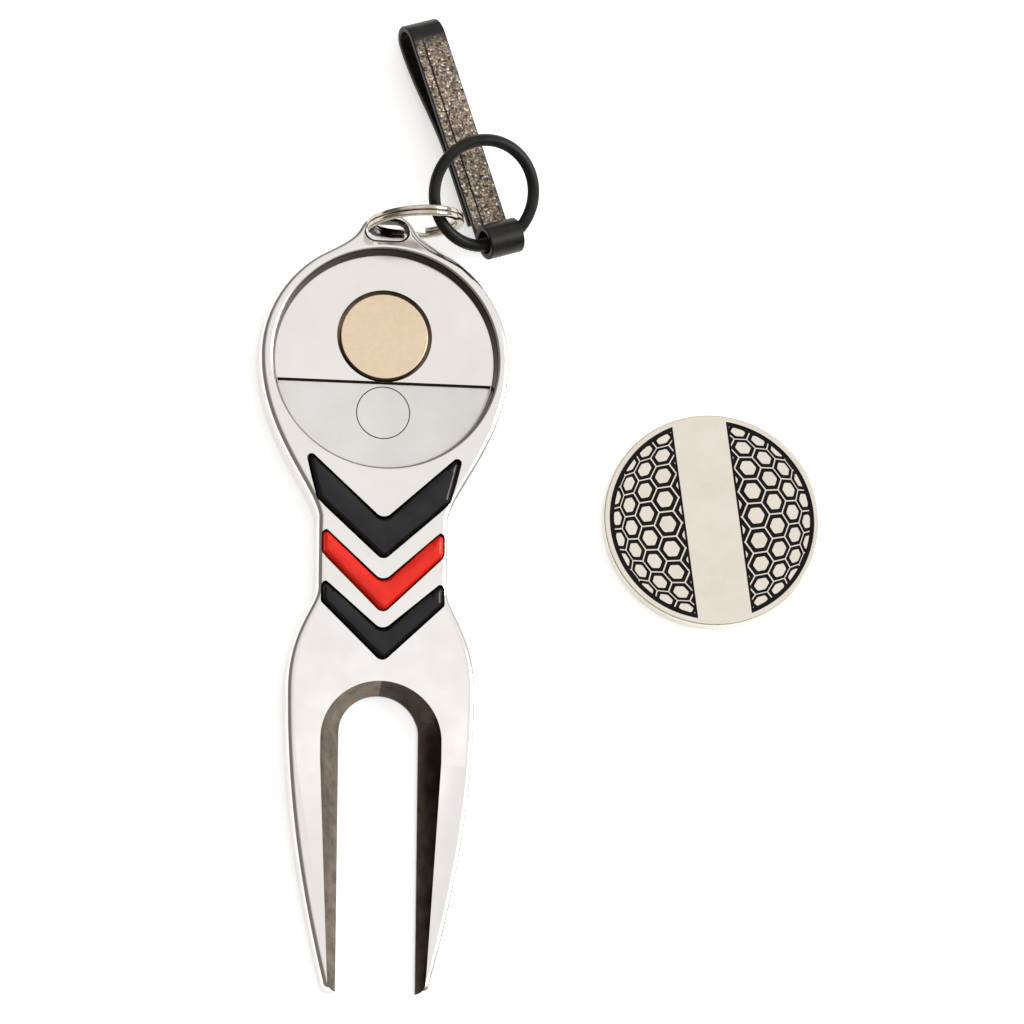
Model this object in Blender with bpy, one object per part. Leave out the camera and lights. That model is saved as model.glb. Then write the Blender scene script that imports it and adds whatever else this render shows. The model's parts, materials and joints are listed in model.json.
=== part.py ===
"""Divot repair tool with a loose ball marker, a split ring, an O-ring and a belt clip.

The tool lies on its back with its face up. X runs across the tool, Y along it with
the fork at -Y, and Z up out of the face. The origin is on the back face, under the
centre of the marker recess. Lengths are in metres.
"""

import bmesh
import bpy
from math import atan2, cos, pi, radians, sin, tan
from mathutils import Matrix, Vector

MM = 0.001

# Body outline, right half
BODY_THICKNESS = 3.55 * MM
HEAD_RADIUS = 14.0 * MM
WAIST_HALF_WIDTH = 7.35 * MM
WAIST_TOP_Y = -18.5 * MM
WAIST_BOTTOM_Y = -26.4 * MM
SHOULDER_HALF_WIDTH = 10.57 * MM
SHOULDER_Y = -38.0 * MM
TIP_Y = -71.5 * MM
TIP_OUTER_X = 6.1 * MM
TIP_CORNER_RADIUS = 0.9 * MM
TIP_THICKNESS = 1.9 * MM
PRONG_TAPER_START_Y = -46.0 * MM
BODY_EDGE_ROUND = 0.35 * MM
LUG_FLANK_HANDLE = 1.7 * MM
HEAD_FLARE_HANDLE = 9.0 * MM
WAIST_TOP_HANDLE = 3.0 * MM
WAIST_BOTTOM_HANDLE = 2.0 * MM
SHOULDER_UPPER_HANDLE = 6.8 * MM
SHOULDER_LOWER_HANDLE = 12.0 * MM
TIP_HANDLE_OUT = 2.6 * MM
TIP_HANDLE_UP = 11.0 * MM

# Lug and its hole
LUG_RADIUS = 3.5 * MM
LUG_CENTRE_Y = 13.5 * MM
LUG_FLANK_ANGLE = radians(25)
LUG_HEAD_ANGLE = radians(55)
LUG_UNDERSIDE_Z = 1.5 * MM
LUG_RELIEF_START_Y = 13.55 * MM
LUG_HOLE_Y = 14.65 * MM
LUG_HOLE_LENGTH = 4.7 * MM
LUG_HOLE_WIDTH = 2.3 * MM

# Marker recess, with a lower half-floor that lets the marker rock out
RECESS_RADIUS = 12.3 * MM
RECESS_FLOOR_Z = 1.85 * MM
RECESS_RIM_CHAMFER = 0.2 * MM
ROCKER_RADIUS = 12.22 * MM
ROCKER_FLOOR_Z = 1.35 * MM
ROCKER_STEP_Y = -2.5 * MM
EJECTOR_Y = -5.75 * MM
EJECTOR_RADIUS = 2.95 * MM
EJECTOR_LINE_WIDTH = 0.16 * MM
EJECTOR_LINE_DEPTH = 0.12 * MM

# Magnet and its glue
MAGNET_Y = 2.9 * MM
MAGNET_RADIUS = 4.85 * MM
MAGNET_POCKET_RADIUS = 5.28 * MM
MAGNET_POCKET_FLOOR_Z = 0.75 * MM
MAGNET_TOP_Z = 1.8 * MM
GLUE_THICKNESS = 0.12 * MM
GLUE_GAP = 0.06 * MM

# Fork slot: a steep inner wall above a narrow upright land
SLOT_BACK_HALF_WIDTH = 4.4 * MM
SLOT_FRONT_HALF_WIDTH = 6.7 * MM
SLOT_BACK_ARCH_Y = -37.8 * MM
SLOT_FRONT_ARCH_Y = -36.9 * MM
SLOT_LAND_Z = 0.6 * MM

# Chevron inlays: right-hand tip, right-hand lower corner, upper vertex y and lower vertex y
CHEVRON_UPPER = ((8.75 * MM, -10.5 * MM), (7.35 * MM, -16.3 * MM), -18.75 * MM, -23.05 * MM)
CHEVRON_MIDDLE = ((6.75 * MM, -19.4 * MM), (6.75 * MM, -22.4 * MM), -25.8 * MM, -29.15 * MM)
CHEVRON_LOWER = ((6.75 * MM, -25.3 * MM), (6.75 * MM, -28.0 * MM), -31.35 * MM, -34.65 * MM)
CHEVRON_TIP_RADIUS = 0.5 * MM
CHEVRON_INNER_RADIUS = 1.1 * MM
CHEVRON_CORNER_RADIUS = 0.6 * MM
CHEVRON_BOTTOM_RADIUS = 0.9 * MM
CHEVRON_POCKET_FLOOR_Z = 2.3 * MM
CHEVRON_SIDE_GAP = 0.1 * MM
CHEVRON_PROUD = 0.35 * MM
CHEVRON_EDGE_ROUND = 0.3 * MM

# Ball marker, beside the tool
MARKER_CENTRE = Vector((36.65 * MM, -16.6 * MM, 0.0))
MARKER_RADIUS = 12.05 * MM
MARKER_THICKNESS = 1.8 * MM
MARKER_EDGE_CHAMFER = 0.2 * MM
MARKER_FIELD_RADIUS = 11.4 * MM
MARKER_STRIP_HALF_WIDTH = 3.0 * MM
MARKER_STRIP_TURN = radians(8)
MARKER_FIELD_DEPTH = 0.4 * MM
ENAMEL_THICKNESS = 0.2 * MM
ENAMEL_GAP = 0.06 * MM
FLOOR_GAP = 0.02 * MM

# Split ring, standing through the lug hole
RING_CENTRE = Vector((2.9 * MM, 15.05 * MM, 5.65 * MM))
RING_YAW = radians(5)
RING_INNER_RADIUS = 4.5 * MM
RING_OUTER_RADIUS = 5.35 * MM
RING_WIDTH = 1.1 * MM
RING_SEAM_DEPTH = 0.16 * MM
RING_SEAM_WIDTH = 0.1 * MM
RING_CORNER = 0.16 * MM

# O-ring, threaded through the split ring and the clip's curl
O_RING_CENTRE = Vector((10.4 * MM, 18.6 * MM, 6.2 * MM))
O_RING_NORMAL = Vector((0.27, -0.33, 0.905)).normalized()
O_RING_RADIUS = 5.89 * MM
O_RING_WIRE_RADIUS = 0.66 * MM

# Belt clip: a folded spring strip whose front leaf ends in a curl round the O-ring
CLIP_HEADING = radians(109.3)
CLIP_PITCH = radians(5)
CLIP_ROLL = radians(14)
CLIP_CURL_ANGLE = radians(-66)
CLIP_WIDTH = 4.1 * MM
CLIP_THICKNESS = 0.65 * MM
CLIP_CURL_INNER_RADIUS = 1.3 * MM
CLIP_CURL_INSET = 0.4 * MM
CLIP_CURL_SWEEP = radians(325)
CLIP_LENGTH = 26.0 * MM
CLIP_BEND_RADIUS = 1.65 * MM
CLIP_LEAF_GAP = 0.35 * MM
CLIP_CLOSED_LENGTH = 11.0 * MM
CLIP_EDGE_ROUND = 0.12 * MM
CLIP_BACK_START = 2.6 * MM
CLIP_CLOSED_HANDLE = 4.0 * MM
CLIP_BEND_HANDLE = 5.0 * MM
CLIP_BEND_DIP = 0.1 * MM

ROUND_SEGMENTS = 96
ARC_STEP = radians(10)


def clear_scene():
    for old in list(bpy.data.objects):
        bpy.data.objects.remove(old, do_unlink=True)


def principled(name, colour, metallic, roughness):
    material = bpy.data.materials.new(name)
    material.use_nodes = True
    shader = material.node_tree.nodes["Principled BSDF"]
    shader.inputs["Base Color"].default_value = (*colour, 1.0)
    shader.inputs["Metallic"].default_value = metallic
    shader.inputs["Roughness"].default_value = roughness
    return material


def add_object(name, shape, material=None, smooth_angle=radians(32)):
    """Turn a finished bmesh into a named object with smooth shading up to an angle."""
    mesh = bpy.data.meshes.new(name)
    bmesh.ops.recalc_face_normals(shape, faces=shape.faces)
    shape.to_mesh(mesh)
    shape.free()
    mesh.shade_smooth()
    mesh.set_sharp_from_angle(angle=smooth_angle)
    made = bpy.data.objects.new(name, mesh)
    bpy.context.scene.collection.objects.link(made)
    if material:
        mesh.materials.append(material)
    return made


def cut(target, name, cutter_shape):
    """Subtract a closed shape from an object with a Boolean modifier."""
    cutter = add_object(name, cutter_shape)
    cutter.hide_render = True
    cutter.display_type = "WIRE"
    boolean = target.modifiers.new(name, "BOOLEAN")
    boolean.operation = "DIFFERENCE"
    boolean.solver = "EXACT"
    boolean.object = cutter


def cubic(start, start_handle, end_handle, end, count):
    """Points along a cubic curve, without its last point."""
    points = []
    for index in range(count):
        t = index / count
        point = Vector(start) * (1 - t) ** 3
        point += Vector(start_handle) * 3 * t * (1 - t) ** 2
        point += Vector(end_handle) * 3 * t * t * (1 - t)
        point += Vector(end) * t ** 3
        points.append(point)
    return points


def arc(centre, radius, start, end, count):
    """Points along an arc, both ends included."""
    points = []
    for index in range(count + 1):
        angle = start + (end - start) * index / count
        points.append(Vector((centre[0] + radius * cos(angle), centre[1] + radius * sin(angle))))
    return points


def rounded(corners, radii):
    """A closed outline whose corners are replaced by tangent arcs."""
    points = []
    total = len(corners)
    for index, radius in enumerate(radii):
        corner = Vector(corners[index])
        back = (Vector(corners[index - 1]) - corner).normalized()
        ahead = (Vector(corners[(index + 1) % total]) - corner).normalized()
        half = back.angle(ahead) / 2
        centre = corner + (back + ahead).normalized() * (radius / sin(half))
        first = corner + back * (radius / tan(half)) - centre
        last = corner + ahead * (radius / tan(half)) - centre
        start = atan2(first.y, first.x)
        turn = (atan2(last.y, last.x) - start + pi) % (2 * pi) - pi
        steps = max(2, round(abs(turn) / ARC_STEP / 1.6))
        points.extend(arc(centre, radius, start, start + turn, steps))
    return points


def prism(points, bottom, top):
    shape = bmesh.new()
    base = shape.faces.new([shape.verts.new((point[0], point[1], bottom)) for point in points])
    grown = bmesh.ops.extrude_face_region(shape, geom=[base])
    lifted = [item for item in grown["geom"] if isinstance(item, bmesh.types.BMVert)]
    bmesh.ops.translate(shape, verts=lifted, vec=(0, 0, top - bottom))
    bmesh.ops.recalc_face_normals(shape, faces=shape.faces)
    return shape


def turned(profile, segments=ROUND_SEGMENTS, centre=(0.0, 0.0)):
    """A closed solid from (radius, height) points; radius 0 closes it on its axis."""
    shape = bmesh.new()
    rings = []
    for radius, height in profile:
        if radius == 0.0:
            rings.append([shape.verts.new((centre[0], centre[1], height))])
            continue
        ring = []
        for index in range(segments):
            angle = 2 * pi * index / segments
            x = centre[0] + radius * cos(angle)
            y = centre[1] + radius * sin(angle)
            ring.append(shape.verts.new((x, y, height)))
        rings.append(ring)
    joins = list(zip(rings, rings[1:]))
    if profile[0][0] > 0.0:
        joins.append((rings[-1], rings[0]))
    for lower, upper in joins:
        for index in range(segments):
            after = (index + 1) % segments
            low_pair = [lower[index % len(lower)], lower[after % len(lower)]]
            high_pair = [upper[after % len(upper)], upper[index % len(upper)]]
            shape.faces.new(list(dict.fromkeys(low_pair + high_pair)))
    bmesh.ops.recalc_face_normals(shape, faces=shape.faces)
    return shape


def disc(radius, bottom, top, centre=(0.0, 0.0), segments=ROUND_SEGMENTS):
    return turned([(0.0, bottom), (radius, bottom), (radius, top), (0.0, top)], segments, centre)


def stadium(centre, length, width, count=12):
    reach = (length - width) / 2
    right = arc((centre[0] + reach, centre[1]), width / 2, -pi / 2, pi / 2, count)
    left = arc((centre[0] - reach, centre[1]), width / 2, pi / 2, 3 * pi / 2, count)
    return right + left


# ---- Tool body: one zinc casting, with the head, waist and fork in one outline ----

def body_outline():
    """The whole outline, from the lug's top clockwise and back by mirroring."""
    lug_point = Vector((LUG_RADIUS * cos(LUG_FLANK_ANGLE), LUG_CENTRE_Y + LUG_RADIUS * sin(LUG_FLANK_ANGLE)))
    lug_run = Vector((sin(LUG_FLANK_ANGLE), -cos(LUG_FLANK_ANGLE)))
    head_point = Vector((HEAD_RADIUS * cos(LUG_HEAD_ANGLE), HEAD_RADIUS * sin(LUG_HEAD_ANGLE)))
    head_run = Vector((sin(LUG_HEAD_ANGLE), -cos(LUG_HEAD_ANGLE)))
    right = arc((0, LUG_CENTRE_Y), LUG_RADIUS, pi / 2, LUG_FLANK_ANGLE, 8)[:-1]
    lug_handle = lug_point + lug_run * LUG_FLANK_HANDLE
    head_handle = head_point - head_run * LUG_FLANK_HANDLE
    right += cubic(lug_point, lug_handle, head_handle, head_point, 6)
    right += arc((0, 0), HEAD_RADIUS, LUG_HEAD_ANGLE, 0, 16)[:-1]
    right += cubic(
        (HEAD_RADIUS, 0),
        (HEAD_RADIUS, -HEAD_FLARE_HANDLE),
        (WAIST_HALF_WIDTH, WAIST_TOP_Y + WAIST_TOP_HANDLE),
        (WAIST_HALF_WIDTH, WAIST_TOP_Y),
        16,
    )
    right += cubic(
        (WAIST_HALF_WIDTH, WAIST_BOTTOM_Y),
        (WAIST_HALF_WIDTH, WAIST_BOTTOM_Y - WAIST_BOTTOM_HANDLE),
        (SHOULDER_HALF_WIDTH, SHOULDER_Y + SHOULDER_UPPER_HANDLE),
        (SHOULDER_HALF_WIDTH, SHOULDER_Y),
        12,
    )
    right += cubic(
        (SHOULDER_HALF_WIDTH, SHOULDER_Y),
        (SHOULDER_HALF_WIDTH, SHOULDER_Y - SHOULDER_LOWER_HANDLE),
        (TIP_OUTER_X + TIP_HANDLE_OUT, TIP_Y + TIP_HANDLE_UP),
        (TIP_OUTER_X, TIP_Y + TIP_CORNER_RADIUS),
        18,
    )
    corner_centre = (TIP_OUTER_X - TIP_CORNER_RADIUS, TIP_Y + TIP_CORNER_RADIUS)
    right += arc(corner_centre, TIP_CORNER_RADIUS, 0, -pi / 2, 4)
    left = [Vector((-point.x, point.y)) for point in reversed(right[1:])]
    return right + left


def slot_section(half_width, arch_y, height):
    """One level of the fork slot: a round arch with straight sides past the tips."""
    centre_y = arch_y - half_width
    points = arc((0, centre_y), half_width, 0, pi, 24)
    end_y = TIP_Y - 6 * MM
    outline = [(half_width, end_y)]
    outline += [(point.x, point.y) for point in points]
    outline.append((-half_width, end_y))
    return [(x, y, height) for x, y in outline]


def slot_cutter():
    rise = (BODY_THICKNESS - SLOT_LAND_Z)
    over = 1.2
    top_half_width = SLOT_BACK_HALF_WIDTH + (SLOT_FRONT_HALF_WIDTH - SLOT_BACK_HALF_WIDTH) * over
    top_arch_y = SLOT_BACK_ARCH_Y + (SLOT_FRONT_ARCH_Y - SLOT_BACK_ARCH_Y) * over
    levels = [
        slot_section(SLOT_BACK_HALF_WIDTH, SLOT_BACK_ARCH_Y, -1 * MM),
        slot_section(SLOT_BACK_HALF_WIDTH, SLOT_BACK_ARCH_Y, SLOT_LAND_Z),
        slot_section(top_half_width, top_arch_y, SLOT_LAND_Z + rise * over),
    ]
    shape = bmesh.new()
    rings = [[shape.verts.new(point) for point in level] for level in levels]
    shape.faces.new(rings[0])
    shape.faces.new(rings[-1])
    for lower, upper in zip(rings, rings[1:]):
        for index in range(len(lower)):
            after = (index + 1) % len(lower)
            shape.faces.new([lower[index], lower[after], upper[after], upper[index]])
    bmesh.ops.recalc_face_normals(shape, faces=shape.faces)
    return shape


def tool_body(material):
    shape = prism(body_outline(), 0.0, BODY_THICKNESS)
    # The face slopes down over the prongs, so it folds along one line across them.
    bmesh.ops.bisect_plane(
        shape,
        geom=shape.verts[:] + shape.edges[:] + shape.faces[:],
        plane_co=(0, PRONG_TAPER_START_Y, 0),
        plane_no=(0, 1, 0),
    )
    bmesh.ops.remove_doubles(shape, verts=shape.verts[:], dist=0.1 * MM)
    slope = (BODY_THICKNESS - TIP_THICKNESS) / (PRONG_TAPER_START_Y - TIP_Y)
    for vertex in shape.verts:
        if vertex.co.z > BODY_THICKNESS / 2 and vertex.co.y < PRONG_TAPER_START_Y:
            vertex.co.z -= slope * (PRONG_TAPER_START_Y - vertex.co.y)
    rim = [edge for edge in shape.edges if edge.calc_face_angle(0.0) > radians(60)]
    rim = [edge for edge in rim if abs(edge.verts[0].co.z - edge.verts[1].co.z) < 0.3 * MM]
    bmesh.ops.bevel(shape, geom=rim, offset=BODY_EDGE_ROUND, segments=3, profile=0.5, affect="EDGES")
    body = add_object("tool_body", shape, material)

    cut(body, "cut_slot", slot_cutter())
    relief = [
        (-9 * MM, LUG_RELIEF_START_Y),
        (9 * MM, LUG_RELIEF_START_Y),
        (9 * MM, 20 * MM),
        (-9 * MM, 20 * MM),
    ]
    cut(body, "cut_lug_relief", prism(relief, -1 * MM, LUG_UNDERSIDE_Z))
    lug_hole = stadium((0, LUG_HOLE_Y), LUG_HOLE_LENGTH, LUG_HOLE_WIDTH)
    cut(body, "cut_lug_hole", prism(lug_hole, -1 * MM, 5 * MM))
    lip = RECESS_RADIUS + RECESS_RIM_CHAMFER
    cut(body, "cut_recess", turned([
        (0.0, RECESS_FLOOR_Z),
        (RECESS_RADIUS, RECESS_FLOOR_Z),
        (RECESS_RADIUS, BODY_THICKNESS - RECESS_RIM_CHAMFER),
        (lip, BODY_THICKNESS),
        (lip, BODY_THICKNESS + 1 * MM),
        (0.0, BODY_THICKNESS + 1 * MM),
    ]))
    rocker = disc(ROCKER_RADIUS, ROCKER_FLOOR_Z, RECESS_FLOOR_Z + 0.5 * MM)
    bmesh.ops.bisect_plane(
        rocker,
        geom=rocker.verts[:] + rocker.edges[:] + rocker.faces[:],
        plane_co=(0, ROCKER_STEP_Y, 0),
        plane_no=(0, 1, 0),
        clear_outer=True,
    )
    bmesh.ops.holes_fill(rocker, edges=[edge for edge in rocker.edges if edge.is_boundary])
    cut(body, "cut_rocker", rocker)
    cut(body, "cut_magnet", disc(MAGNET_POCKET_RADIUS, MAGNET_POCKET_FLOOR_Z, 3 * MM, (0, MAGNET_Y), 64))
    return body


def ejector_mark(body):
    """The faint round line that the casting's ejector pin leaves on the lower floor."""
    half_line = EJECTOR_LINE_WIDTH / 2
    line_floor = ROCKER_FLOOR_Z - EJECTOR_LINE_DEPTH
    cut(body, "cut_ejector", turned([
        (EJECTOR_RADIUS - half_line, line_floor),
        (EJECTOR_RADIUS + half_line, line_floor),
        (EJECTOR_RADIUS + half_line, 2 * MM),
        (EJECTOR_RADIUS - half_line, 2 * MM),
    ], 48, (0, EJECTOR_Y)))


# ---- Magnet, held in its pocket by a film of glue ----

def magnet_and_glue(magnet_material, glue_material):
    glue_bottom = MAGNET_POCKET_FLOOR_Z + GLUE_GAP
    add_object("magnet_adhesive", disc(MAGNET_RADIUS - 0.15 * MM, glue_bottom, glue_bottom + GLUE_THICKNESS,
                                       (0, MAGNET_Y), 48), glue_material)
    chamfer = 0.08 * MM
    bottom = glue_bottom + GLUE_THICKNESS + GLUE_GAP
    add_object("recess_magnet", turned([
        (0.0, bottom),
        (MAGNET_RADIUS - chamfer, bottom),
        (MAGNET_RADIUS, bottom + chamfer),
        (MAGNET_RADIUS, MAGNET_TOP_Z - chamfer),
        (MAGNET_RADIUS - chamfer, MAGNET_TOP_Z),
        (0.0, MAGNET_TOP_Z),
    ], 64, (0, MAGNET_Y)), magnet_material)


# ---- Chevrons: soft inlays glued into pockets in the waist ----

def chevron_outline(tip, lower_corner, inner_y, bottom_y, grow=0.0):
    """Tip and lower corner are right-hand points; grow widens the outline for its pocket."""
    tip_x, tip_y = tip
    corner_x, corner_y = lower_corner
    corners = [
        (tip_x + grow, tip_y + grow),
        (0, inner_y + grow),
        (-tip_x - grow, tip_y + grow),
        (-corner_x - grow, corner_y - grow * 0.4),
        (0, bottom_y - grow * 1.3),
        (corner_x + grow, corner_y - grow * 0.4),
    ]
    radii = [
        CHEVRON_TIP_RADIUS,
        CHEVRON_INNER_RADIUS,
        CHEVRON_TIP_RADIUS,
        CHEVRON_CORNER_RADIUS,
        CHEVRON_BOTTOM_RADIUS,
        CHEVRON_CORNER_RADIUS,
    ]
    return rounded(corners, radii)


def chevron(body, name, material, glue_material, place):
    cut(body, "cut_" + name, prism(chevron_outline(*place, CHEVRON_SIDE_GAP), CHEVRON_POCKET_FLOOR_Z, 5 * MM))
    glue_bottom = CHEVRON_POCKET_FLOOR_Z + GLUE_GAP
    glue = prism(chevron_outline(*place, -0.15 * MM), glue_bottom, glue_bottom + GLUE_THICKNESS)
    add_object(name + "_adhesive", glue, glue_material)
    bottom = glue_bottom + GLUE_THICKNESS + GLUE_GAP
    top = BODY_THICKNESS + CHEVRON_PROUD
    inlay = prism(chevron_outline(*place), bottom, top)
    edges = [edge for edge in inlay.edges if all(vertex.co.z > top - 0.01 * MM for vertex in edge.verts)]
    bmesh.ops.bevel(inlay, geom=edges, offset=CHEVRON_EDGE_ROUND, segments=3, profile=0.5, affect="EDGES")
    add_object(name, inlay, material)


# ---- Ball marker: a struck disc with two enamelled fields on each face ----

def field_outline(side, shrink=0.0):
    """The part of the face to one side of the plain strip; side is +1 or -1."""
    radius = MARKER_FIELD_RADIUS - shrink
    near = MARKER_STRIP_HALF_WIDTH + shrink
    half_angle = atan2((radius ** 2 - near ** 2) ** 0.5, near)
    points = arc((0, 0), radius, -half_angle, half_angle, 40)
    turned_points = [Vector((side * point.x, side * point.y)) for point in points]
    return turned_points


def ball_marker(metal, enamel):
    chamfer = MARKER_EDGE_CHAMFER
    disc_body = add_object("marker_disc", turned([
        (0.0, 0.0),
        (MARKER_RADIUS - chamfer, 0.0),
        (MARKER_RADIUS, chamfer),
        (MARKER_RADIUS, MARKER_THICKNESS - chamfer),
        (MARKER_RADIUS - chamfer, MARKER_THICKNESS),
        (0.0, MARKER_THICKNESS),
    ]), metal)
    lifted = MARKER_CENTRE + Vector((0, 0, FLOOR_GAP))
    place = Matrix.Translation(lifted) @ Matrix.Rotation(MARKER_STRIP_TURN, 4, "Z")
    disc_body.matrix_world = place
    faces = {
        "front": (MARKER_THICKNESS - MARKER_FIELD_DEPTH, MARKER_THICKNESS + 1 * MM, 1),
        "back": (-1 * MM, MARKER_FIELD_DEPTH, -1),
    }
    for face, (bottom, top, outward) in faces.items():
        for side_name, side in (("left", -1), ("right", 1)):
            label = face + "_" + side_name
            cutter = prism(field_outline(side), bottom, top)
            cutter.transform(place)
            cut(disc_body, "cut_field_" + label, cutter)
            floor = bottom if outward > 0 else top
            first = floor + outward * ENAMEL_GAP
            second = first + outward * ENAMEL_THICKNESS
            fill = prism(field_outline(side, 0.05 * MM), min(first, second), max(first, second))
            made = add_object("enamel_" + label, fill, enamel)
            made.matrix_world = place


# ---- Split ring: two turns of flat spring wire, shown as one band with a seam ----

def split_ring(material):
    half = RING_WIDTH / 2
    corner = RING_CORNER
    inner, outer = RING_INNER_RADIUS, RING_OUTER_RADIUS
    seam = RING_SEAM_WIDTH / 2
    shape = turned([
        (inner + corner, -half),
        (outer - corner, -half),
        (outer, -half + corner),
        (outer, -seam - RING_SEAM_DEPTH / 2),
        (outer - RING_SEAM_DEPTH, 0.0),
        (outer, seam + RING_SEAM_DEPTH / 2),
        (outer, half - corner),
        (outer - corner, half),
        (inner + corner, half),
        (inner, half - corner),
        (inner, -half + corner),
    ], 72)
    ring = add_object("split_ring", shape, material)
    upright = Matrix.Rotation(RING_YAW, 4, "Z") @ Matrix.Rotation(radians(90), 4, "X")
    ring.matrix_world = Matrix.Translation(RING_CENTRE) @ upright


# ---- O-ring: a moulded rubber ring of round section ----

def ring_axes():
    """Two directions in the O-ring's plane, the first running across the tool."""
    across = (Vector((1, 0, 0)) - O_RING_NORMAL * O_RING_NORMAL.x).normalized()
    return across, O_RING_NORMAL.cross(across)


def o_ring(material):
    sides = 14
    profile = []
    for index in range(sides):
        angle = 2 * pi * index / sides
        profile.append((O_RING_RADIUS + O_RING_WIRE_RADIUS * cos(angle), O_RING_WIRE_RADIUS * sin(angle)))
    ring = add_object("o_ring", turned(profile, 64), material, radians(60))
    across, up = ring_axes()
    turn = Matrix((across, up, O_RING_NORMAL)).transposed().to_4x4()
    ring.matrix_world = Matrix.Translation(O_RING_CENTRE) @ turn


# ---- Belt clip: the strip's middle line is offset to both sides and made 3-D ----

def clip_path():
    """Middle line from the back leaf's free end round the bend, down the front and through the curl."""
    curl_radius = CLIP_CURL_INNER_RADIUS + CLIP_THICKNESS / 2
    layer = CLIP_THICKNESS + CLIP_LEAF_GAP
    bend_x = CLIP_LENGTH - CLIP_BEND_RADIUS
    points = []
    for index in range(3):
        spot = CLIP_BACK_START + (CLIP_CLOSED_LENGTH - CLIP_BACK_START) * index / 3
        points.append(Vector((spot, -layer)))
    points += cubic(
        (CLIP_CLOSED_LENGTH, -layer),
        (CLIP_CLOSED_LENGTH + CLIP_CLOSED_HANDLE, -layer),
        (bend_x - CLIP_BEND_HANDLE, -2 * CLIP_BEND_RADIUS - CLIP_BEND_DIP),
        (bend_x, -2 * CLIP_BEND_RADIUS),
        8,
    )
    points += arc((bend_x, -CLIP_BEND_RADIUS), CLIP_BEND_RADIUS, -pi / 2, pi / 2, 12)
    straight = 6
    for index in range(1, straight + 1):
        points.append(Vector((bend_x * (1 - index / straight), 0.0)))
    curl = arc((0, curl_radius), curl_radius, -pi / 2, -pi / 2 - CLIP_CURL_SWEEP, 26)
    return points + curl[1:], curl_radius


def belt_clip(material):
    path, curl_radius = clip_path()
    shape = bmesh.new()
    half = CLIP_WIDTH / 2
    rings = []
    for index, point in enumerate(path):
        before = path[max(index - 1, 0)]
        after = path[min(index + 1, len(path) - 1)]
        run = (after - before).normalized()
        side = Vector((-run.y, run.x)) * (CLIP_THICKNESS / 2)
        ring = []
        for across, offset in ((-half, side), (half, side), (half, -side), (-half, -side)):
            spot = point + offset
            ring.append(shape.verts.new((across, spot.x, spot.y - curl_radius)))
        rings.append(ring)
    shape.faces.new(rings[0])
    shape.faces.new(rings[-1])
    for lower, upper in zip(rings, rings[1:]):
        for index in range(4):
            after = (index + 1) % 4
            shape.faces.new([lower[index], lower[after], upper[after], upper[index]])
    bmesh.ops.recalc_face_normals(shape, faces=shape.faces)
    long_edges = [edge for edge in shape.edges if edge.calc_face_angle(0.0) > radians(70)]
    bmesh.ops.bevel(shape, geom=long_edges, offset=CLIP_EDGE_ROUND, segments=2, profile=0.5, affect="EDGES")
    clip = add_object("belt_clip", shape, material)
    across, up = ring_axes()
    spot = across * cos(CLIP_CURL_ANGLE) + up * sin(CLIP_CURL_ANGLE)
    curl_centre = O_RING_CENTRE + spot * (O_RING_RADIUS - CLIP_CURL_INSET)
    along = Vector((cos(CLIP_HEADING), sin(CLIP_HEADING), 0)) * cos(CLIP_PITCH)
    along.z = sin(CLIP_PITCH)
    level = Vector((sin(CLIP_HEADING), -cos(CLIP_HEADING), 0))
    lateral = (Matrix.Rotation(CLIP_ROLL, 3, along) @ level).normalized()
    front = lateral.cross(along)
    turn = Matrix((lateral, along, front)).transposed().to_4x4()
    clip.matrix_world = Matrix.Translation(curl_centre) @ turn


def build():
    clear_scene()
    nickel = principled("satin_nickel", (0.76, 0.75, 0.73), 1.0, 0.22)
    magnet_plate = principled("magnet_nickel", (0.80, 0.71, 0.56), 1.0, 0.38)
    glue = principled("clear_epoxy", (0.62, 0.56, 0.42), 0.0, 0.35)
    black_soft = principled("black_enamel_resin", (0.015, 0.015, 0.016), 0.0, 0.32)
    red_soft = principled("red_enamel_resin", (0.75, 0.03, 0.015), 0.0, 0.30)
    champagne = principled("champagne_nickel", (0.78, 0.74, 0.64), 1.0, 0.30)
    enamel = principled("black_enamel", (0.008, 0.008, 0.009), 0.0, 0.25)
    ring_nickel = principled("ring_nickel", (0.72, 0.68, 0.62), 1.0, 0.15)
    rubber = principled("black_rubber", (0.012, 0.012, 0.012), 0.0, 0.45)
    coat = principled("black_sand_coat", (0.03, 0.027, 0.024), 0.3, 0.5)

    body = tool_body(nickel)
    magnet_and_glue(magnet_plate, glue)
    chevron(body, "chevron_upper", black_soft, glue, CHEVRON_UPPER)
    chevron(body, "chevron_middle", red_soft, glue, CHEVRON_MIDDLE)
    chevron(body, "chevron_lower", black_soft, glue, CHEVRON_LOWER)
    ejector_mark(body)
    ball_marker(champagne, enamel)
    split_ring(ring_nickel)
    o_ring(rubber)
    belt_clip(coat)


build()
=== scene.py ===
"""Looks of a divot repair tool with its ball marker, rings and folded clip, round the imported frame."""

import json
from math import atan2, cos, pi, radians, sin, sqrt, tan

import bmesh
import bpy
from mathutils import Matrix, Vector
from mathutils.geometry import delaunay_2d_cdt


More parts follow.
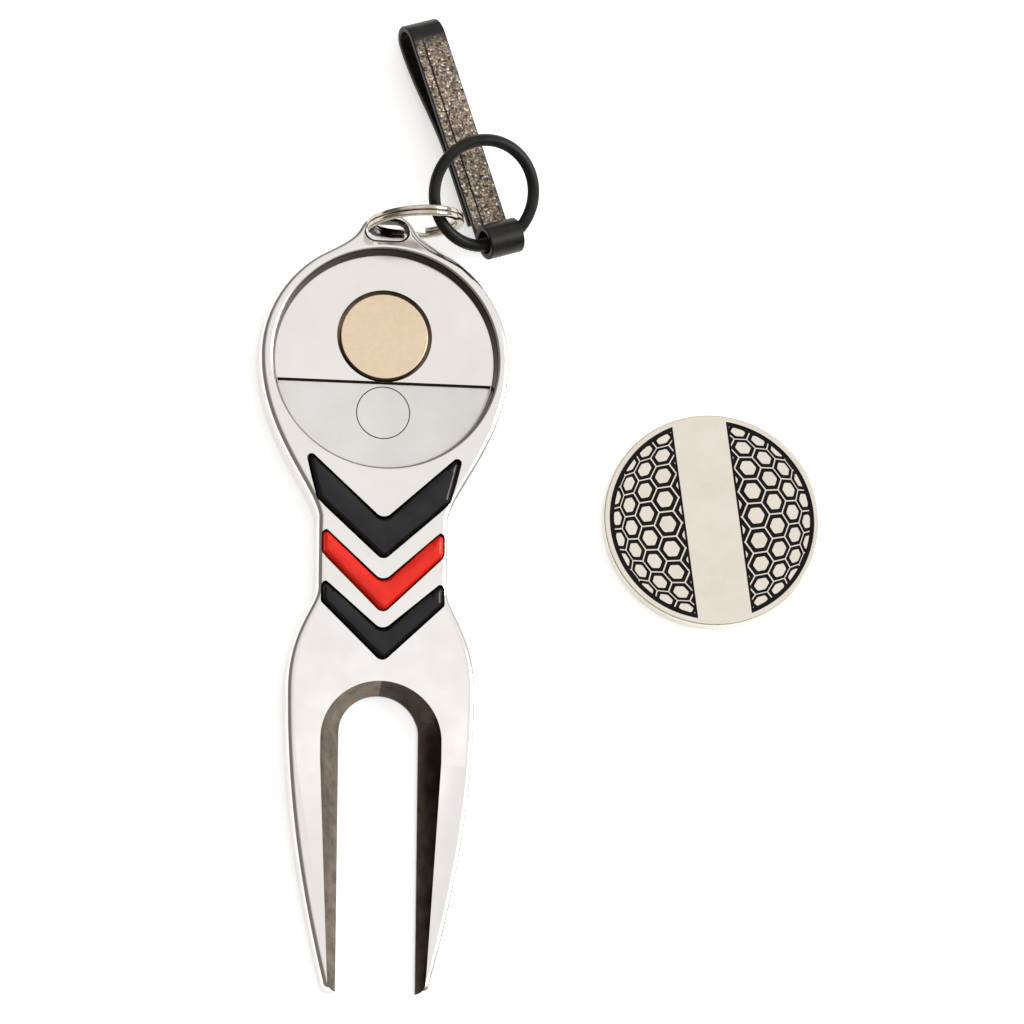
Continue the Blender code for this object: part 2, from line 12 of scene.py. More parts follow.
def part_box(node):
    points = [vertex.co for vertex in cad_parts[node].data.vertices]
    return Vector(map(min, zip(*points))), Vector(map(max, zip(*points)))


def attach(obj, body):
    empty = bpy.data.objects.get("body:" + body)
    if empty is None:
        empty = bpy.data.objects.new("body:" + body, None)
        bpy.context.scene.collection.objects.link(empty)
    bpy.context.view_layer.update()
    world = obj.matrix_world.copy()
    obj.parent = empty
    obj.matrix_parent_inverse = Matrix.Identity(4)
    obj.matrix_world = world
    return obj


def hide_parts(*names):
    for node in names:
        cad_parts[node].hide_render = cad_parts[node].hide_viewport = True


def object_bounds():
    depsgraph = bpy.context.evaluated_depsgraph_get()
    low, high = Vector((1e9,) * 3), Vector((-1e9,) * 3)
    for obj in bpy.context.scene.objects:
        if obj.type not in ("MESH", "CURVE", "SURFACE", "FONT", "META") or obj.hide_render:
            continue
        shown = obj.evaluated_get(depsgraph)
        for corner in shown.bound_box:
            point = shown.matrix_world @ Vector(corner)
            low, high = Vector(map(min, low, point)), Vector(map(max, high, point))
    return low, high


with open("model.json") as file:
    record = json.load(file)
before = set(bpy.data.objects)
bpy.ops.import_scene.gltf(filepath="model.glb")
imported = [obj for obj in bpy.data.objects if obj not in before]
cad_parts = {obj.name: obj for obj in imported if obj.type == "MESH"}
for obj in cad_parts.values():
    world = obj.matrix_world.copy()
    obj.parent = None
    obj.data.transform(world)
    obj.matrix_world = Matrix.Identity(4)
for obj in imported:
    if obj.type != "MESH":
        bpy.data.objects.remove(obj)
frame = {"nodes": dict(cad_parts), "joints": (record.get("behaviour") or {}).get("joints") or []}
cad_low, cad_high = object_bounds()
nodes_of_cad = frame["nodes"]

# ---- Studio and camera ----
# The tool lies on a pale table under one large white sheet of light, which bright
# metal needs to look bright. The sheet darkens towards the horizon, so every rounded
# edge shows a thin dark line. The long lens stands above and a little towards the fork.

MM = 0.001
LENS = 600.0
SENSOR = 36.0
FRAME_WIDTH = 112.9 * MM
CAMERA_TILT = (radians(15.1), radians(-6.6), radians(0.6))
AIM_FROM_BODY_CENTRE = Vector((14.2 * MM, 10.15 * MM, 0.0))

body_low, body_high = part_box("tool_body")
aim = (body_low + body_high) / 2 + AIM_FROM_BODY_CENTRE
aim.z = body_high.z
camera_data = bpy.data.cameras.new("view")
camera_data.lens = LENS
camera_data.sensor_width = SENSOR
camera_data.clip_start = 10 * MM
camera_data.clip_end = 10.0
camera = bpy.data.objects.new("view", camera_data)
bpy.context.scene.collection.objects.link(camera)
camera.rotation_euler = CAMERA_TILT
back_from_aim = camera.rotation_euler.to_matrix() @ Vector((0, 0, 1))
camera.location = aim + back_from_aim * (LENS * FRAME_WIDTH / SENSOR)
bpy.context.scene.camera = camera
bpy.context.scene.view_settings.view_transform = "Standard"


def table_material():
    material = bpy.data.materials.new("pale_table")
    material.use_nodes = True
    nodes, links = material.node_tree.nodes, material.node_tree.links
    nodes.clear()
    surface = nodes.new("NodeFrame")
    surface.label = "matt white laminate"
    place = nodes.new("ShaderNodeTexCoord")
    place.label = "table coordinates"
    tooth = nodes.new("ShaderNodeTexNoise")
    tooth.label = "fine tooth of the laminate"
    bump = nodes.new("ShaderNodeBump")
    bump.label = "tooth relief"
    shader = nodes.new("ShaderNodeBsdfPrincipled")
    shader.label = "laminate"
    output = nodes.new("ShaderNodeOutputMaterial")
    output.label = "table surface"
    for index, node in enumerate((place, tooth, bump, shader, output)):
        node.location = (index * 220, 0)
        node.parent = surface
    tooth.inputs["Scale"].default_value = 900.0
    bump.inputs["Strength"].default_value = 0.05
    bump.inputs["Distance"].default_value = 0.0001
    shader.inputs["Base Color"].default_value = (0.93, 0.93, 0.925, 1)
    shader.inputs["Roughness"].default_value = 0.75
    shader.inputs["Emission Color"].default_value = (1, 1, 1, 1)
    shader.inputs["Emission Strength"].default_value = 0.5
    links.new(place.outputs["Object"], tooth.inputs["Vector"])
    links.new(tooth.outputs["Fac"], bump.inputs["Height"])
    links.new(bump.outputs["Normal"], shader.inputs["Normal"])
    links.new(shader.outputs["BSDF"], output.inputs["Surface"])
    return material


TABLE_HALF_SIZE = 1.5
table_mesh = bpy.data.meshes.new("table")
table_corners = [(-1, -1), (1, -1), (1, 1), (-1, 1)]
table_points = [(x * TABLE_HALF_SIZE, y * TABLE_HALF_SIZE, cad_low.z) for x, y in table_corners]
table_mesh.from_pydata(table_points, [], [(0, 1, 2, 3)])
table_mesh.materials.append(table_material())
table = bpy.data.objects.new("table", table_mesh)
bpy.context.scene.collection.objects.link(table)

world = bpy.data.worlds.new("studio")
bpy.context.scene.world = world
world.use_nodes = True
sky_nodes, sky_links = world.node_tree.nodes, world.node_tree.links
sky_nodes.clear()
sky_direction = sky_nodes.new("ShaderNodeTexCoord")
sky_direction.label = "direction in the room"
sky_height = sky_nodes.new("ShaderNodeVectorMath")
sky_height.label = "closeness to the sheet's middle"
sky_ramp = sky_nodes.new("ShaderNodeValToRGB")
sky_ramp.label = "dark room, white sheet overhead"
sky_light = sky_nodes.new("ShaderNodeBackground")
sky_light.label = "room light"
sky_output = sky_nodes.new("ShaderNodeOutputWorld")
sky_output.label = "room"
for index, node in enumerate((sky_direction, sky_height, sky_ramp, sky_light, sky_output)):
    node.location = (index * 260, 0)
sky_height.operation = "DOT_PRODUCT"
sky_height.inputs[1].default_value = Vector((0.34, 0.22, 0.91)).normalized()
sky_ramp.color_ramp.elements[0].position = 0.36
sky_ramp.color_ramp.elements[0].color = (0.21, 0.19, 0.17, 1)
sky_ramp.color_ramp.elements[1].position = 0.70
sky_ramp.color_ramp.elements[1].color = (1.0, 0.985, 0.965, 1)
sky_links.new(sky_direction.outputs["Generated"], sky_height.inputs[0])
sky_links.new(sky_height.outputs["Value"], sky_ramp.inputs["Fac"])
sky_links.new(sky_ramp.outputs["Color"], sky_light.inputs["Color"])
sky_links.new(sky_light.outputs["Background"], sky_output.inputs["Surface"])


def softbox(name, place, size, watts):
    """A square sheet of light that faces the tool's middle."""
    lamp = bpy.data.lights.new(name, "AREA")
    lamp.shape = "SQUARE"
    lamp.size = size
    lamp.energy = watts
    holder = bpy.data.objects.new(name, lamp)
    holder.location = place
    holder.rotation_euler = (aim - Vector(place)).to_track_quat("-Z", "Y").to_euler()
    bpy.context.scene.collection.objects.link(holder)


softbox("window_strip", (0.75, 0.1, 0.45), 0.4, 4.0)
softbox("fork_glow", (0.054, 0.066, 0.48), 0.05, 0.0022)

# ---- Tool body ----
# One zinc casting with the round head, the waist, the fork and the lug, polished on its
# face and plated with satin nickel. The recess, pockets and holes get near-black nickel as
# painted shade, and the fork's sides a painted lit copy left and a painted shaded copy right.

TOOL_THICKNESS = body_high.z - body_low.z
HEAD_RADIUS = body_high.x
TIP_Y = body_low.y
LUG_RADIUS = 3.5 * MM
LUG_CENTRE_Y = body_high.y - LUG_RADIUS
LUG_FLANK_ANGLE = radians(25)
LUG_HEAD_ANGLE = radians(55)
LUG_FLANK_HANDLE = 1.7 * MM
LUG_UNDERSIDE_Z = 1.5 * MM
LUG_RELIEF_START_Y = 13.55 * MM
LUG_HOLE_Y = 14.65 * MM
LUG_HOLE_LENGTH = 4.7 * MM
LUG_HOLE_WIDTH = 2.3 * MM
LUG_HOLE_ROUND = 0.25 * MM
HEAD_FLARE_HANDLE = 9 * MM
WAIST_TOP_HANDLE = 3 * MM
WAIST_BOTTOM_HANDLE = 2 * MM
WAIST_HALF_WIDTH = 7.35 * MM
WAIST_TOP_Y = -18.5 * MM
WAIST_BOTTOM_Y = -26.4 * MM
SHOULDER_HALF_WIDTH = 10.57 * MM
SHOULDER_Y = -38.0 * MM
SHOULDER_UPPER_HANDLE = 6.8 * MM
SHOULDER_LOWER_HANDLE = 12 * MM
TIP_OUTER_X = 6.1 * MM
TIP_HANDLE_OUT = 2.6 * MM
TIP_HANDLE_UP = 11 * MM
TIP_CORNER_RADIUS = 0.9 * MM
TIP_THICKNESS = 1.9 * MM
PRONG_TAPER_START_Y = -46.0 * MM
FACE_EDGE_ROUND = 1.0 * MM
BACK_EDGE_ROUND = 0.35 * MM
SLOT_BACK_HALF_WIDTH = 4.4 * MM
SLOT_FRONT_HALF_WIDTH = 6.7 * MM
SLOT_BACK_ARCH_Y = -37.8 * MM
SLOT_FRONT_ARCH_Y = -36.9 * MM
SLOT_LAND_Z = 0.6 * MM
RECESS_RADIUS = 12.45 * MM
RECESS_WALL_DRAFT = 0.3 * MM
RECESS_FLOOR_Z = 1.85 * MM
RECESS_RIM_ROUND = 0.5 * MM
ROCKER_RADIUS = 12.1 * MM
ROCKER_FLOOR_Z = 1.35 * MM
ROCKER_STEP_Y = -2.5 * MM
MAGNET_Y = 2.9 * MM
MAGNET_POCKET_RADIUS = 5.28 * MM
MAGNET_POCKET_FLOOR_Z = 0.75 * MM
EJECTOR_Y = -5.75 * MM
EJECTOR_RADIUS = 2.95 * MM
EJECTOR_LINE_WIDTH = 0.12 * MM
EJECTOR_LINE_DEPTH = 0.12 * MM
CHEVRON_POCKET_FLOOR_Z = 2.3 * MM
CHEVRON_SIDE_GAP = 0.1 * MM
CHEVRON_POCKET_ROUND = 0.08 * MM
CHEVRON_CORNER_ROUNDS = (0.5 * MM, 1.1 * MM, 0.5 * MM, 0.6 * MM, 0.9 * MM, 0.6 * MM)
CLOSE_POINTS = 0.08 * MM
CUT_PAST = 1 * MM


def plated_metal(name, tint, stain, polish, grain_stretch, grain_depth, cloud_size=6.0 * MM):
    """Plated metal: cloudy colour, corners darkened brown by residue and painted shade, uneven polish and a
    fine grain along one way.
    """
    material = bpy.data.materials.new(name)
    material.use_nodes = True
    nodes, links = material.node_tree.nodes, material.node_tree.links
    nodes.clear()

    colour_frame = nodes.new("NodeFrame")
    colour_frame.label = "plating colour and corner dirt"
    polish_frame = nodes.new("NodeFrame")
    polish_frame.label = "uneven polish"
    grain_frame = nodes.new("NodeFrame")
    grain_frame.label = "brushed grain"

    place = nodes.new("ShaderNodeTexCoord")
    place.label = "place on the piece"
    clouds = nodes.new("ShaderNodeTexNoise")
    clouds.label = "cloudy plating"
    cloud_range = nodes.new("ShaderNodeMapRange")
    cloud_range.label = "how much the clouds show"
    colour = nodes.new("ShaderNodeMix")
    colour.label = "clean to cloudy plating"
    # Painted shade and residue: the occlusion darkens corners towards brown.
    corner = nodes.new("ShaderNodeAmbientOcclusion")
    corner.label = "corners that polish misses"
    corner_dirt_and_shade_range = nodes.new("ShaderNodeMapRange")
    corner_dirt_and_shade_range.label = "width of the dark corners"
    dirt_and_shade = nodes.new("ShaderNodeMix")
    dirt_and_shade.label = "brown residue in corners"
    smears = nodes.new("ShaderNodeTexNoise")
    smears.label = "wiping smears"
    smear_range = nodes.new("ShaderNodeMapRange")
    smear_range.label = "polish from bright to dull"
    stretch = nodes.new("ShaderNodeMapping")
    stretch.label = "draw the grain out"
    grain = nodes.new("ShaderNodeTexNoise")
    grain.label = "brush lines"
    grain_bump = nodes.new("ShaderNodeBump")
    grain_bump.label = "brush line relief"
    shader = nodes.new("ShaderNodeBsdfPrincipled")
    shader.label = "plated surface"
    output = nodes.new("ShaderNodeOutputMaterial")
    output.label = "metal surface"

    rows = (
        (colour_frame, 400, (clouds, cloud_range, colour, corner, corner_dirt_and_shade_range, dirt_and_shade)),
        (polish_frame, 0, (smears, smear_range)),
        (grain_frame, -350, (stretch, grain, grain_bump)),
    )
    for group, height, members in rows:
        for index, node in enumerate(members):
            node.parent = group
            node.location = (index * 200 - 1000, height)
    place.location = (-1300, 0)
    shader.location = (400, 200)
    output.location = (700, 200)

    clouds.inputs["Scale"].default_value = 1 / cloud_size
    clouds.inputs["Detail"].default_value = 5.0
    clouds.inputs["Roughness"].default_value = 0.6
    cloud_range.inputs["From Min"].default_value = 0.35
    cloud_range.inputs["From Max"].default_value = 0.75
    colour.data_type = "RGBA"
    colour.inputs["A"].default_value = (*tint, 1)
    colour.inputs["B"].default_value = (*stain, 1)
    corner.samples = 8
    corner.inputs["Distance"].default_value = 0.5 * MM
    corner_dirt_and_shade_range.inputs["From Min"].default_value = 0.25
    corner_dirt_and_shade_range.inputs["From Max"].default_value = 0.75
    corner_dirt_and_shade_range.inputs["To Min"].default_value = 0.75
    corner_dirt_and_shade_range.inputs["To Max"].default_value = 0.0
    dirt_and_shade.data_type = "RGBA"
    dirt_and_shade.inputs["B"].default_value = (0.10, 0.075, 0.055, 1)
    smears.inputs["Scale"].default_value = 260.0
    smears.inputs["Detail"].default_value = 8.0
    smear_range.inputs["From Min"].default_value = 0.3
    smear_range.inputs["From Max"].default_value = 0.7
    smear_range.inputs["To Min"].default_value = polish[0]
    smear_range.inputs["To Max"].default_value = polish[1]
    stretch.inputs["Scale"].default_value = grain_stretch
    grain.inputs["Scale"].default_value = 1 / MM
    grain.inputs["Detail"].default_value = 3.0
    grain_bump.inputs["Strength"].default_value = grain_depth
    grain_bump.inputs["Distance"].default_value = 0.02 * MM
    shader.inputs["Metallic"].default_value = 1.0

    links.new(place.outputs["Object"], clouds.inputs["Vector"])
    links.new(clouds.outputs["Fac"], cloud_range.inputs["Value"])
    links.new(cloud_range.outputs["Result"], colour.inputs["Factor"])
    links.new(colour.outputs["Result"], dirt_and_shade.inputs["A"])
    links.new(corner.outputs["AO"], corner_dirt_and_shade_range.inputs["Value"])
    links.new(corner_dirt_and_shade_range.outputs["Result"], dirt_and_shade.inputs["Factor"])
    links.new(dirt_and_shade.outputs["Result"], shader.inputs["Base Color"])
    links.new(place.outputs["Object"], smears.inputs["Vector"])
    links.new(smears.outputs["Fac"], smear_range.inputs["Value"])
    links.new(smear_range.outputs["Result"], shader.inputs["Roughness"])
    links.new(place.outputs["Object"], stretch.inputs["Vector"])
    links.new(stretch.outputs["Vector"], grain.inputs["Vector"])
    links.new(grain.outputs["Fac"], grain_bump.inputs["Height"])
    links.new(grain_bump.outputs["Normal"], shader.inputs["Normal"])
    links.new(shader.outputs["BSDF"], output.inputs["Surface"])
    return material


def cubic(start, start_handle, end_handle, end, count):
    """Points along a cubic curve, without its last point."""
    points = []
    for index in range(count):
        t = index / count
        a, b = Vector(start), Vector(start_handle)
        c, d = Vector(end_handle), Vector(end)
        points.append(a * (1 - t) ** 3 + b * 3 * t * (1 - t) ** 2 + c * 3 * t * t * (1 - t) + d * t ** 3)
    return points


def arc(centre, radius, start, end, count):
    """Points along an arc, both ends included."""
    points = []
    for index in range(count + 1):
        angle = start + (end - start) * index / count
        points.append(Vector((centre[0] + radius * cos(angle), centre[1] + radius * sin(angle))))
    return points


def rounded(corners, radii, step):
    """A closed outline whose corners are replaced by tangent arcs."""
    points = []
    total = len(corners)
    for index, radius in enumerate(radii):
        corner = Vector(corners[index])
        back = (Vector(corners[index - 1]) - corner).normalized()
        ahead = (Vector(corners[(index + 1) % total]) - corner).normalized()
        half = back.angle(ahead) / 2
        centre = corner + (back + ahead).normalized() * (radius / sin(half))
        first = corner + back * (radius / tan(half)) - centre
        last = corner + ahead * (radius / tan(half)) - centre
        start = atan2(first.y, first.x)
        turn = (atan2(last.y, last.x) - start + pi) % (2 * pi) - pi
        points.extend(arc(centre, radius, start, start + turn, max(3, round(abs(turn) / step))))
    return points


def stadium(centre, length, width, count=16):
    """A slot outline with round ends, lying along X."""
    reach = (length - width) / 2
    right = arc((centre[0] + reach, centre[1]), width / 2, -pi / 2, pi / 2, count)
    left = arc((centre[0] - reach, centre[1]), width / 2, pi / 2, 3 * pi / 2, count)
    return right + left


def loft(levels, endless=False):
    """A closed solid through loops of equally many points, capped or joined back to its first loop."""
    shape = bmesh.new()
    rings = [[shape.verts.new(point) for point in level] for level in levels]
    if endless:
        rings.append(rings[0])
    else:
        shape.faces.new(rings[0])
        shape.faces.new(rings[-1])
    for lower, upper in zip(rings, rings[1:]):
        for index in range(len(lower)):
            after = (index + 1) % len(lower)
            shape.faces.new([lower[index], lower[after], upper[after], upper[index]])
    bmesh.ops.recalc_face_normals(shape, faces=shape.faces)
    return shape


def at_height(outline, height):
    return [(point[0], point[1], height) for point in outline]


def circle(centre, radius, count):
    return arc(centre, radius, 0, 2 * pi * (count - 1) / count, count - 1)


def solid(name, shape, *materials):
    """A finished bmesh as an object in the scene."""
    mesh = bpy.data.meshes.new(name)
    shape.to_mesh(mesh)
    shape.free()
    for material in materials:
        mesh.materials.append(material)
    made = bpy.data.objects.new(name, mesh)
    bpy.context.scene.collection.objects.link(made)
    return made


def carve(target, cutters):
    """Cut shapes out of a piece for good. The cut faces keep their cutter's material."""
    for cutter in cutters:
        boolean = target.modifiers.new(cutter.name, "BOOLEAN")
        boolean.operation = "DIFFERENCE"
        boolean.solver = "EXACT"
        boolean.material_mode = "TRANSFER"
        boolean.object = cutter
    settle(target)
    for cutter in cutters:
        bpy.data.objects.remove(cutter, do_unlink=True)


def settle(piece):
    """Turn a piece's modifiers into its mesh."""
    depsgraph = bpy.context.evaluated_depsgraph_get()
    finished = bpy.data.meshes.new_from_object(piece.evaluated_get(depsgraph))
    piece.modifiers.clear()
    piece.data = finished


def smooth(piece, crease=radians(32)):
    """Round shading that stays flat on flat faces and sharp on hard edges."""
    piece.data.shade_smooth()
    piece.data.set_sharp_from_angle(angle=crease)
    even = piece.modifiers.new("flat_faces_stay_flat", "WEIGHTED_NORMAL")
    even.keep_sharp = True
    settle(piece)


def body_outline():
    """Lug, head, flare, waist, shoulder and prong of the right half, then the same mirrored."""
    lug_point = Vector((LUG_RADIUS * cos(LUG_FLANK_ANGLE), LUG_CENTRE_Y + LUG_RADIUS * sin(LUG_FLANK_ANGLE)))
    lug_run = Vector((sin(LUG_FLANK_ANGLE), -cos(LUG_FLANK_ANGLE)))
    head_point = Vector((HEAD_RADIUS * cos(LUG_HEAD_ANGLE), HEAD_RADIUS * sin(LUG_HEAD_ANGLE)))
    head_run = Vector((sin(LUG_HEAD_ANGLE), -cos(LUG_HEAD_ANGLE)))
    right = arc((0, LUG_CENTRE_Y), LUG_RADIUS, pi / 2, LUG_FLANK_ANGLE, 16)[:-1]
    right += cubic(
        lug_point,
        lug_point + lug_run * LUG_FLANK_HANDLE,
        head_point - head_run * LUG_FLANK_HANDLE,
        head_point,
        12,
    )
    right += arc((0, 0), HEAD_RADIUS, LUG_HEAD_ANGLE, 0, 36)[:-1]
    waist_top = (WAIST_HALF_WIDTH, WAIST_TOP_Y)
    above_waist = (WAIST_HALF_WIDTH, WAIST_TOP_Y + WAIST_TOP_HANDLE)
    right += cubic((HEAD_RADIUS, 0), (HEAD_RADIUS, -HEAD_FLARE_HANDLE), above_waist, waist_top, 36)
    waist_bottom = (WAIST_HALF_WIDTH, WAIST_BOTTOM_Y)
    shoulder = (SHOULDER_HALF_WIDTH, SHOULDER_Y)
    right += cubic(
        waist_bottom,
        (WAIST_HALF_WIDTH, WAIST_BOTTOM_Y - WAIST_BOTTOM_HANDLE),
        (SHOULDER_HALF_WIDTH, SHOULDER_Y + SHOULDER_UPPER_HANDLE),
        shoulder,
        28,
    )
    right += cubic(
        shoulder,
        (SHOULDER_HALF_WIDTH, SHOULDER_Y - SHOULDER_LOWER_HANDLE),
        (TIP_OUTER_X + TIP_HANDLE_OUT, TIP_Y + TIP_HANDLE_UP),
        (TIP_OUTER_X, TIP_Y + TIP_CORNER_RADIUS),
        40,
    )
    tip_corner = (TIP_OUTER_X - TIP_CORNER_RADIUS, TIP_Y + TIP_CORNER_RADIUS)
    right += arc(tip_corner, TIP_CORNER_RADIUS, 0, -pi / 2, 8)
    left = [Vector((-point.x, point.y)) for point in reversed(right[1:])]
    return right + left


def slot_section(half_width, arch_y, height):
    """The fork slot at one height: straight sides, open past the tips, with a round arch."""
    end_y = TIP_Y - 6 * CUT_PAST
    arch = arc((0, arch_y - half_width), half_width, 0, pi, 56)
    return at_height([(half_width, end_y)] + arch + [(-half_width, end_y)], height)


def flared(outline_at, floor, top, lip, draft=0.0):
    """A cutter with a rounded mouth; outline_at gives the outline for a growth, draft leans the walls."""
    levels = [at_height(outline_at(-draft), floor)]
    for index in range(6):
        angle = pi / 2 * index / 5
        levels.append(at_height(outline_at(lip * (1 - cos(angle))), top - lip + lip * sin(angle)))
    levels.append(at_height(outline_at(lip), top + CUT_PAST))
    return loft(levels)


CHEVRONS = {
    "chevron_upper": ((8.75 * MM, -10.5 * MM), (7.35 * MM, -16.3 * MM), -18.75 * MM, -23.05 * MM),
    "chevron_middle": ((6.75 * MM, -19.4 * MM), (6.75 * MM, -22.4 * MM), -25.8 * MM, -29.15 * MM),
    "chevron_lower": ((6.75 * MM, -25.3 * MM), (6.75 * MM, -28.0 * MM), -31.35 * MM, -34.65 * MM),
}


def chevron_outline(tip, lower_corner, inner_y, bottom_y, grow=0.0):
    """Tip and lower corner are right-hand points; grow widens the outline all round."""
    corners = [
        (tip[0] + grow, tip[1] + grow),
        (0, inner_y + grow),
        (-tip[0] - grow, tip[1] + grow),
        (-lower_corner[0] - grow, lower_corner[1] - grow * 0.4),
        (0, bottom_y - grow * 1.3),
        (lower_corner[0] + grow, lower_corner[1] - grow * 0.4),
    ]
    return rounded(corners, CHEVRON_CORNER_ROUNDS, radians(8))


def ring_line(centre, radius, width, floor, top, count):
    """A thin round groove as one closed ring."""
    inner = circle(centre, radius - width / 2, count)
    outer = circle(centre, radius + width / 2, count)
    section = [at_height(inner, floor), at_height(outer, floor), at_height(outer, top), at_height(inner, top)]
    return loft(section, True)


def cast_body(face, painted_shade_wall, floor, shaded_flank, lit_flank):
    """The casting: its outline, tapered prongs and rounded edges, then every pocket and hole."""
    outline = body_outline()
    shape = loft([at_height(outline, 0.0), at_height(outline, TOOL_THICKNESS)])
    bmesh.ops.bisect_plane(
        shape,
        geom=shape.verts[:] + shape.edges[:] + shape.faces[:],
        plane_co=(0, PRONG_TAPER_START_Y, 0),
        plane_no=(0, 1, 0),
    )
    bmesh.ops.remove_doubles(shape, verts=shape.verts[:], dist=CLOSE_POINTS)
    slope = (TOOL_THICKNESS - TIP_THICKNESS) / (PRONG_TAPER_START_Y - TIP_Y)
    for vertex in shape.verts:
        if vertex.co.z > TOOL_THICKNESS / 2 and vertex.co.y < PRONG_TAPER_START_Y:
            vertex.co.z -= slope * (PRONG_TAPER_START_Y - vertex.co.y)
    for upper, reach in ((True, FACE_EDGE_ROUND), (False, BACK_EDGE_ROUND)):
        rim = [edge for edge in shape.edges if edge.calc_face_angle(0.0) > radians(60)]
        rim = [edge for edge in rim if abs(edge.verts[0].co.z - edge.verts[1].co.z) < 0.3 * MM]
        rim = [edge for edge in rim if (edge.verts[0].co.z > TOOL_THICKNESS / 3) == upper]
        bmesh.ops.bevel(shape, geom=rim, offset=reach, segments=8, profile=0.5, affect="EDGES")
    body = solid("cast_body", shape, face)

    past_face = 1.2
    slot = loft([
        slot_section(SLOT_BACK_HALF_WIDTH, SLOT_BACK_ARCH_Y, -CUT_PAST),
        slot_section(SLOT_BACK_HALF_WIDTH, SLOT_BACK_ARCH_Y, SLOT_LAND_Z),
        slot_section(
            SLOT_BACK_HALF_WIDTH + (SLOT_FRONT_HALF_WIDTH - SLOT_BACK_HALF_WIDTH) * past_face,
            SLOT_BACK_ARCH_Y + (SLOT_FRONT_ARCH_Y - SLOT_BACK_ARCH_Y) * past_face,
            SLOT_LAND_Z + (TOOL_THICKNESS - SLOT_LAND_Z) * past_face,
        ),
    ])
    # Painted light: the fork's left side takes the painted lit copy of the dark nickel and its right side the
    # painted shaded copy.
    for part in slot.faces:
        part.material_index = 1 if part.calc_center_median().x < 0 else 0
    reach, past_lug = 9 * MM, 20 * MM
    relief = [(-reach, LUG_RELIEF_START_Y), (reach, LUG_RELIEF_START_Y),
              (reach, past_lug), (-reach, past_lug)]
    recess = flared(lambda grow: circle((0, 0), RECESS_RADIUS + grow, 192),
                    RECESS_FLOOR_Z, TOOL_THICKNESS, RECESS_RIM_ROUND, RECESS_WALL_DRAFT)
    # Upright recess walls get the painted-shade nickel; the floor and the rounded mouth keep their own
    # finishes.
    for part in recess.faces:
        upright = abs(part.normal.z) < 0.5
        on_floor = part.normal.z < -0.9 and part.calc_center_median().z < TOOL_THICKNESS / 2
        part.material_index = 1 if on_floor else 0 if upright else 2
    rocker_rim = circle((0, 0), ROCKER_RADIUS, 192)
    above_step = RECESS_FLOOR_Z + CUT_PAST / 2
    rocker = loft([at_height(rocker_rim, ROCKER_FLOOR_Z), at_height(rocker_rim, above_step)])
    bmesh.ops.bisect_plane(
        rocker,
        geom=rocker.verts[:] + rocker.edges[:] + rocker.faces[:],
        plane_co=(0, ROCKER_STEP_Y, ROCKER_FLOOR_Z),
        plane_no=(0, 1, -0.4),
        clear_outer=True,
    )
    bmesh.ops.holes_fill(rocker, edges=[edge for edge in rocker.edges if edge.is_boundary])
    bmesh.ops.recalc_face_normals(rocker, faces=rocker.faces)
    rocker.normal_update()
    # The rocker's step and side faces get the painted-shade nickel.
    for part in rocker.faces:
        part.material_index = 1 if part.normal.z < -0.9 else 0
    pocket_rim = circle((0, MAGNET_Y), MAGNET_POCKET_RADIUS, 96)
    magnet_pocket = loft([at_height(pocket_rim, MAGNET_POCKET_FLOOR_Z), at_height(pocket_rim, 3 * CUT_PAST)])
    cutters = [
        solid("fork_slot", slot, shaded_flank, lit_flank),
        solid("lug_relief", loft([at_height(relief, -CUT_PAST), at_height(relief, LUG_UNDERSIDE_Z)]), face),
        solid("lug_hole", flared(
            lambda grow: stadium((0, LUG_HOLE_Y), LUG_HOLE_LENGTH + 2 * grow, LUG_HOLE_WIDTH + 2 * grow),
            -CUT_PAST, TOOL_THICKNESS, LUG_HOLE_ROUND), painted_shade_wall),
        solid("recess", recess, painted_shade_wall, floor, face),
        solid("rocker", rocker, painted_shade_wall, floor),
        # The magnet pocket is lined with the painted lit copy: painted shade, lighter and browner than the
        # other hollows.
        solid("magnet_pocket", magnet_pocket, lit_flank),
    ]
    # Chevron pocket sides and the ejector groove get the painted-shade nickel too.
    for name, place in CHEVRONS.items():
        pocket = flared(lambda grow, place=place: chevron_outline(*place, CHEVRON_SIDE_GAP + grow),
                        CHEVRON_POCKET_FLOOR_Z, TOOL_THICKNESS, CHEVRON_POCKET_ROUND)
        cutters.append(solid("pocket_" + name, pocket, painted_shade_wall))
    ejector = ring_line((0, EJECTOR_Y), EJECTOR_RADIUS, EJECTOR_LINE_WIDTH,
                        ROCKER_FLOOR_Z - EJECTOR_LINE_DEPTH, 2 * CUT_PAST, 72)
    cutters.append(solid("ejector_line", ejector, painted_shade_wall))
    carve(body, cutters)
    smooth(body)
    return body


satin_nickel = plated_metal(
    "satin_nickel", (0.83, 0.815, 0.79), (0.78, 0.76, 0.735), (0.10, 0.2), (1, 0.2, 1), 0.04,
)
# Near-black nickel for the walls of every hollow and groove: painted shade and painted dark reflection.
painted_shade_nickel = plated_metal(
    "painted_shade_wall_nickel", (0.05, 0.037, 0.028), (0.028, 0.02, 0.015), (0.2, 0.35), (1, 1, 1), 0.2, 2 * MM,
)
recess_floor = plated_metal(
    "recess_floor_nickel", (0.75, 0.74, 0.715), (0.67, 0.66, 0.635), (0.22, 0.36), (0.06, 1, 1), 0.2,
)
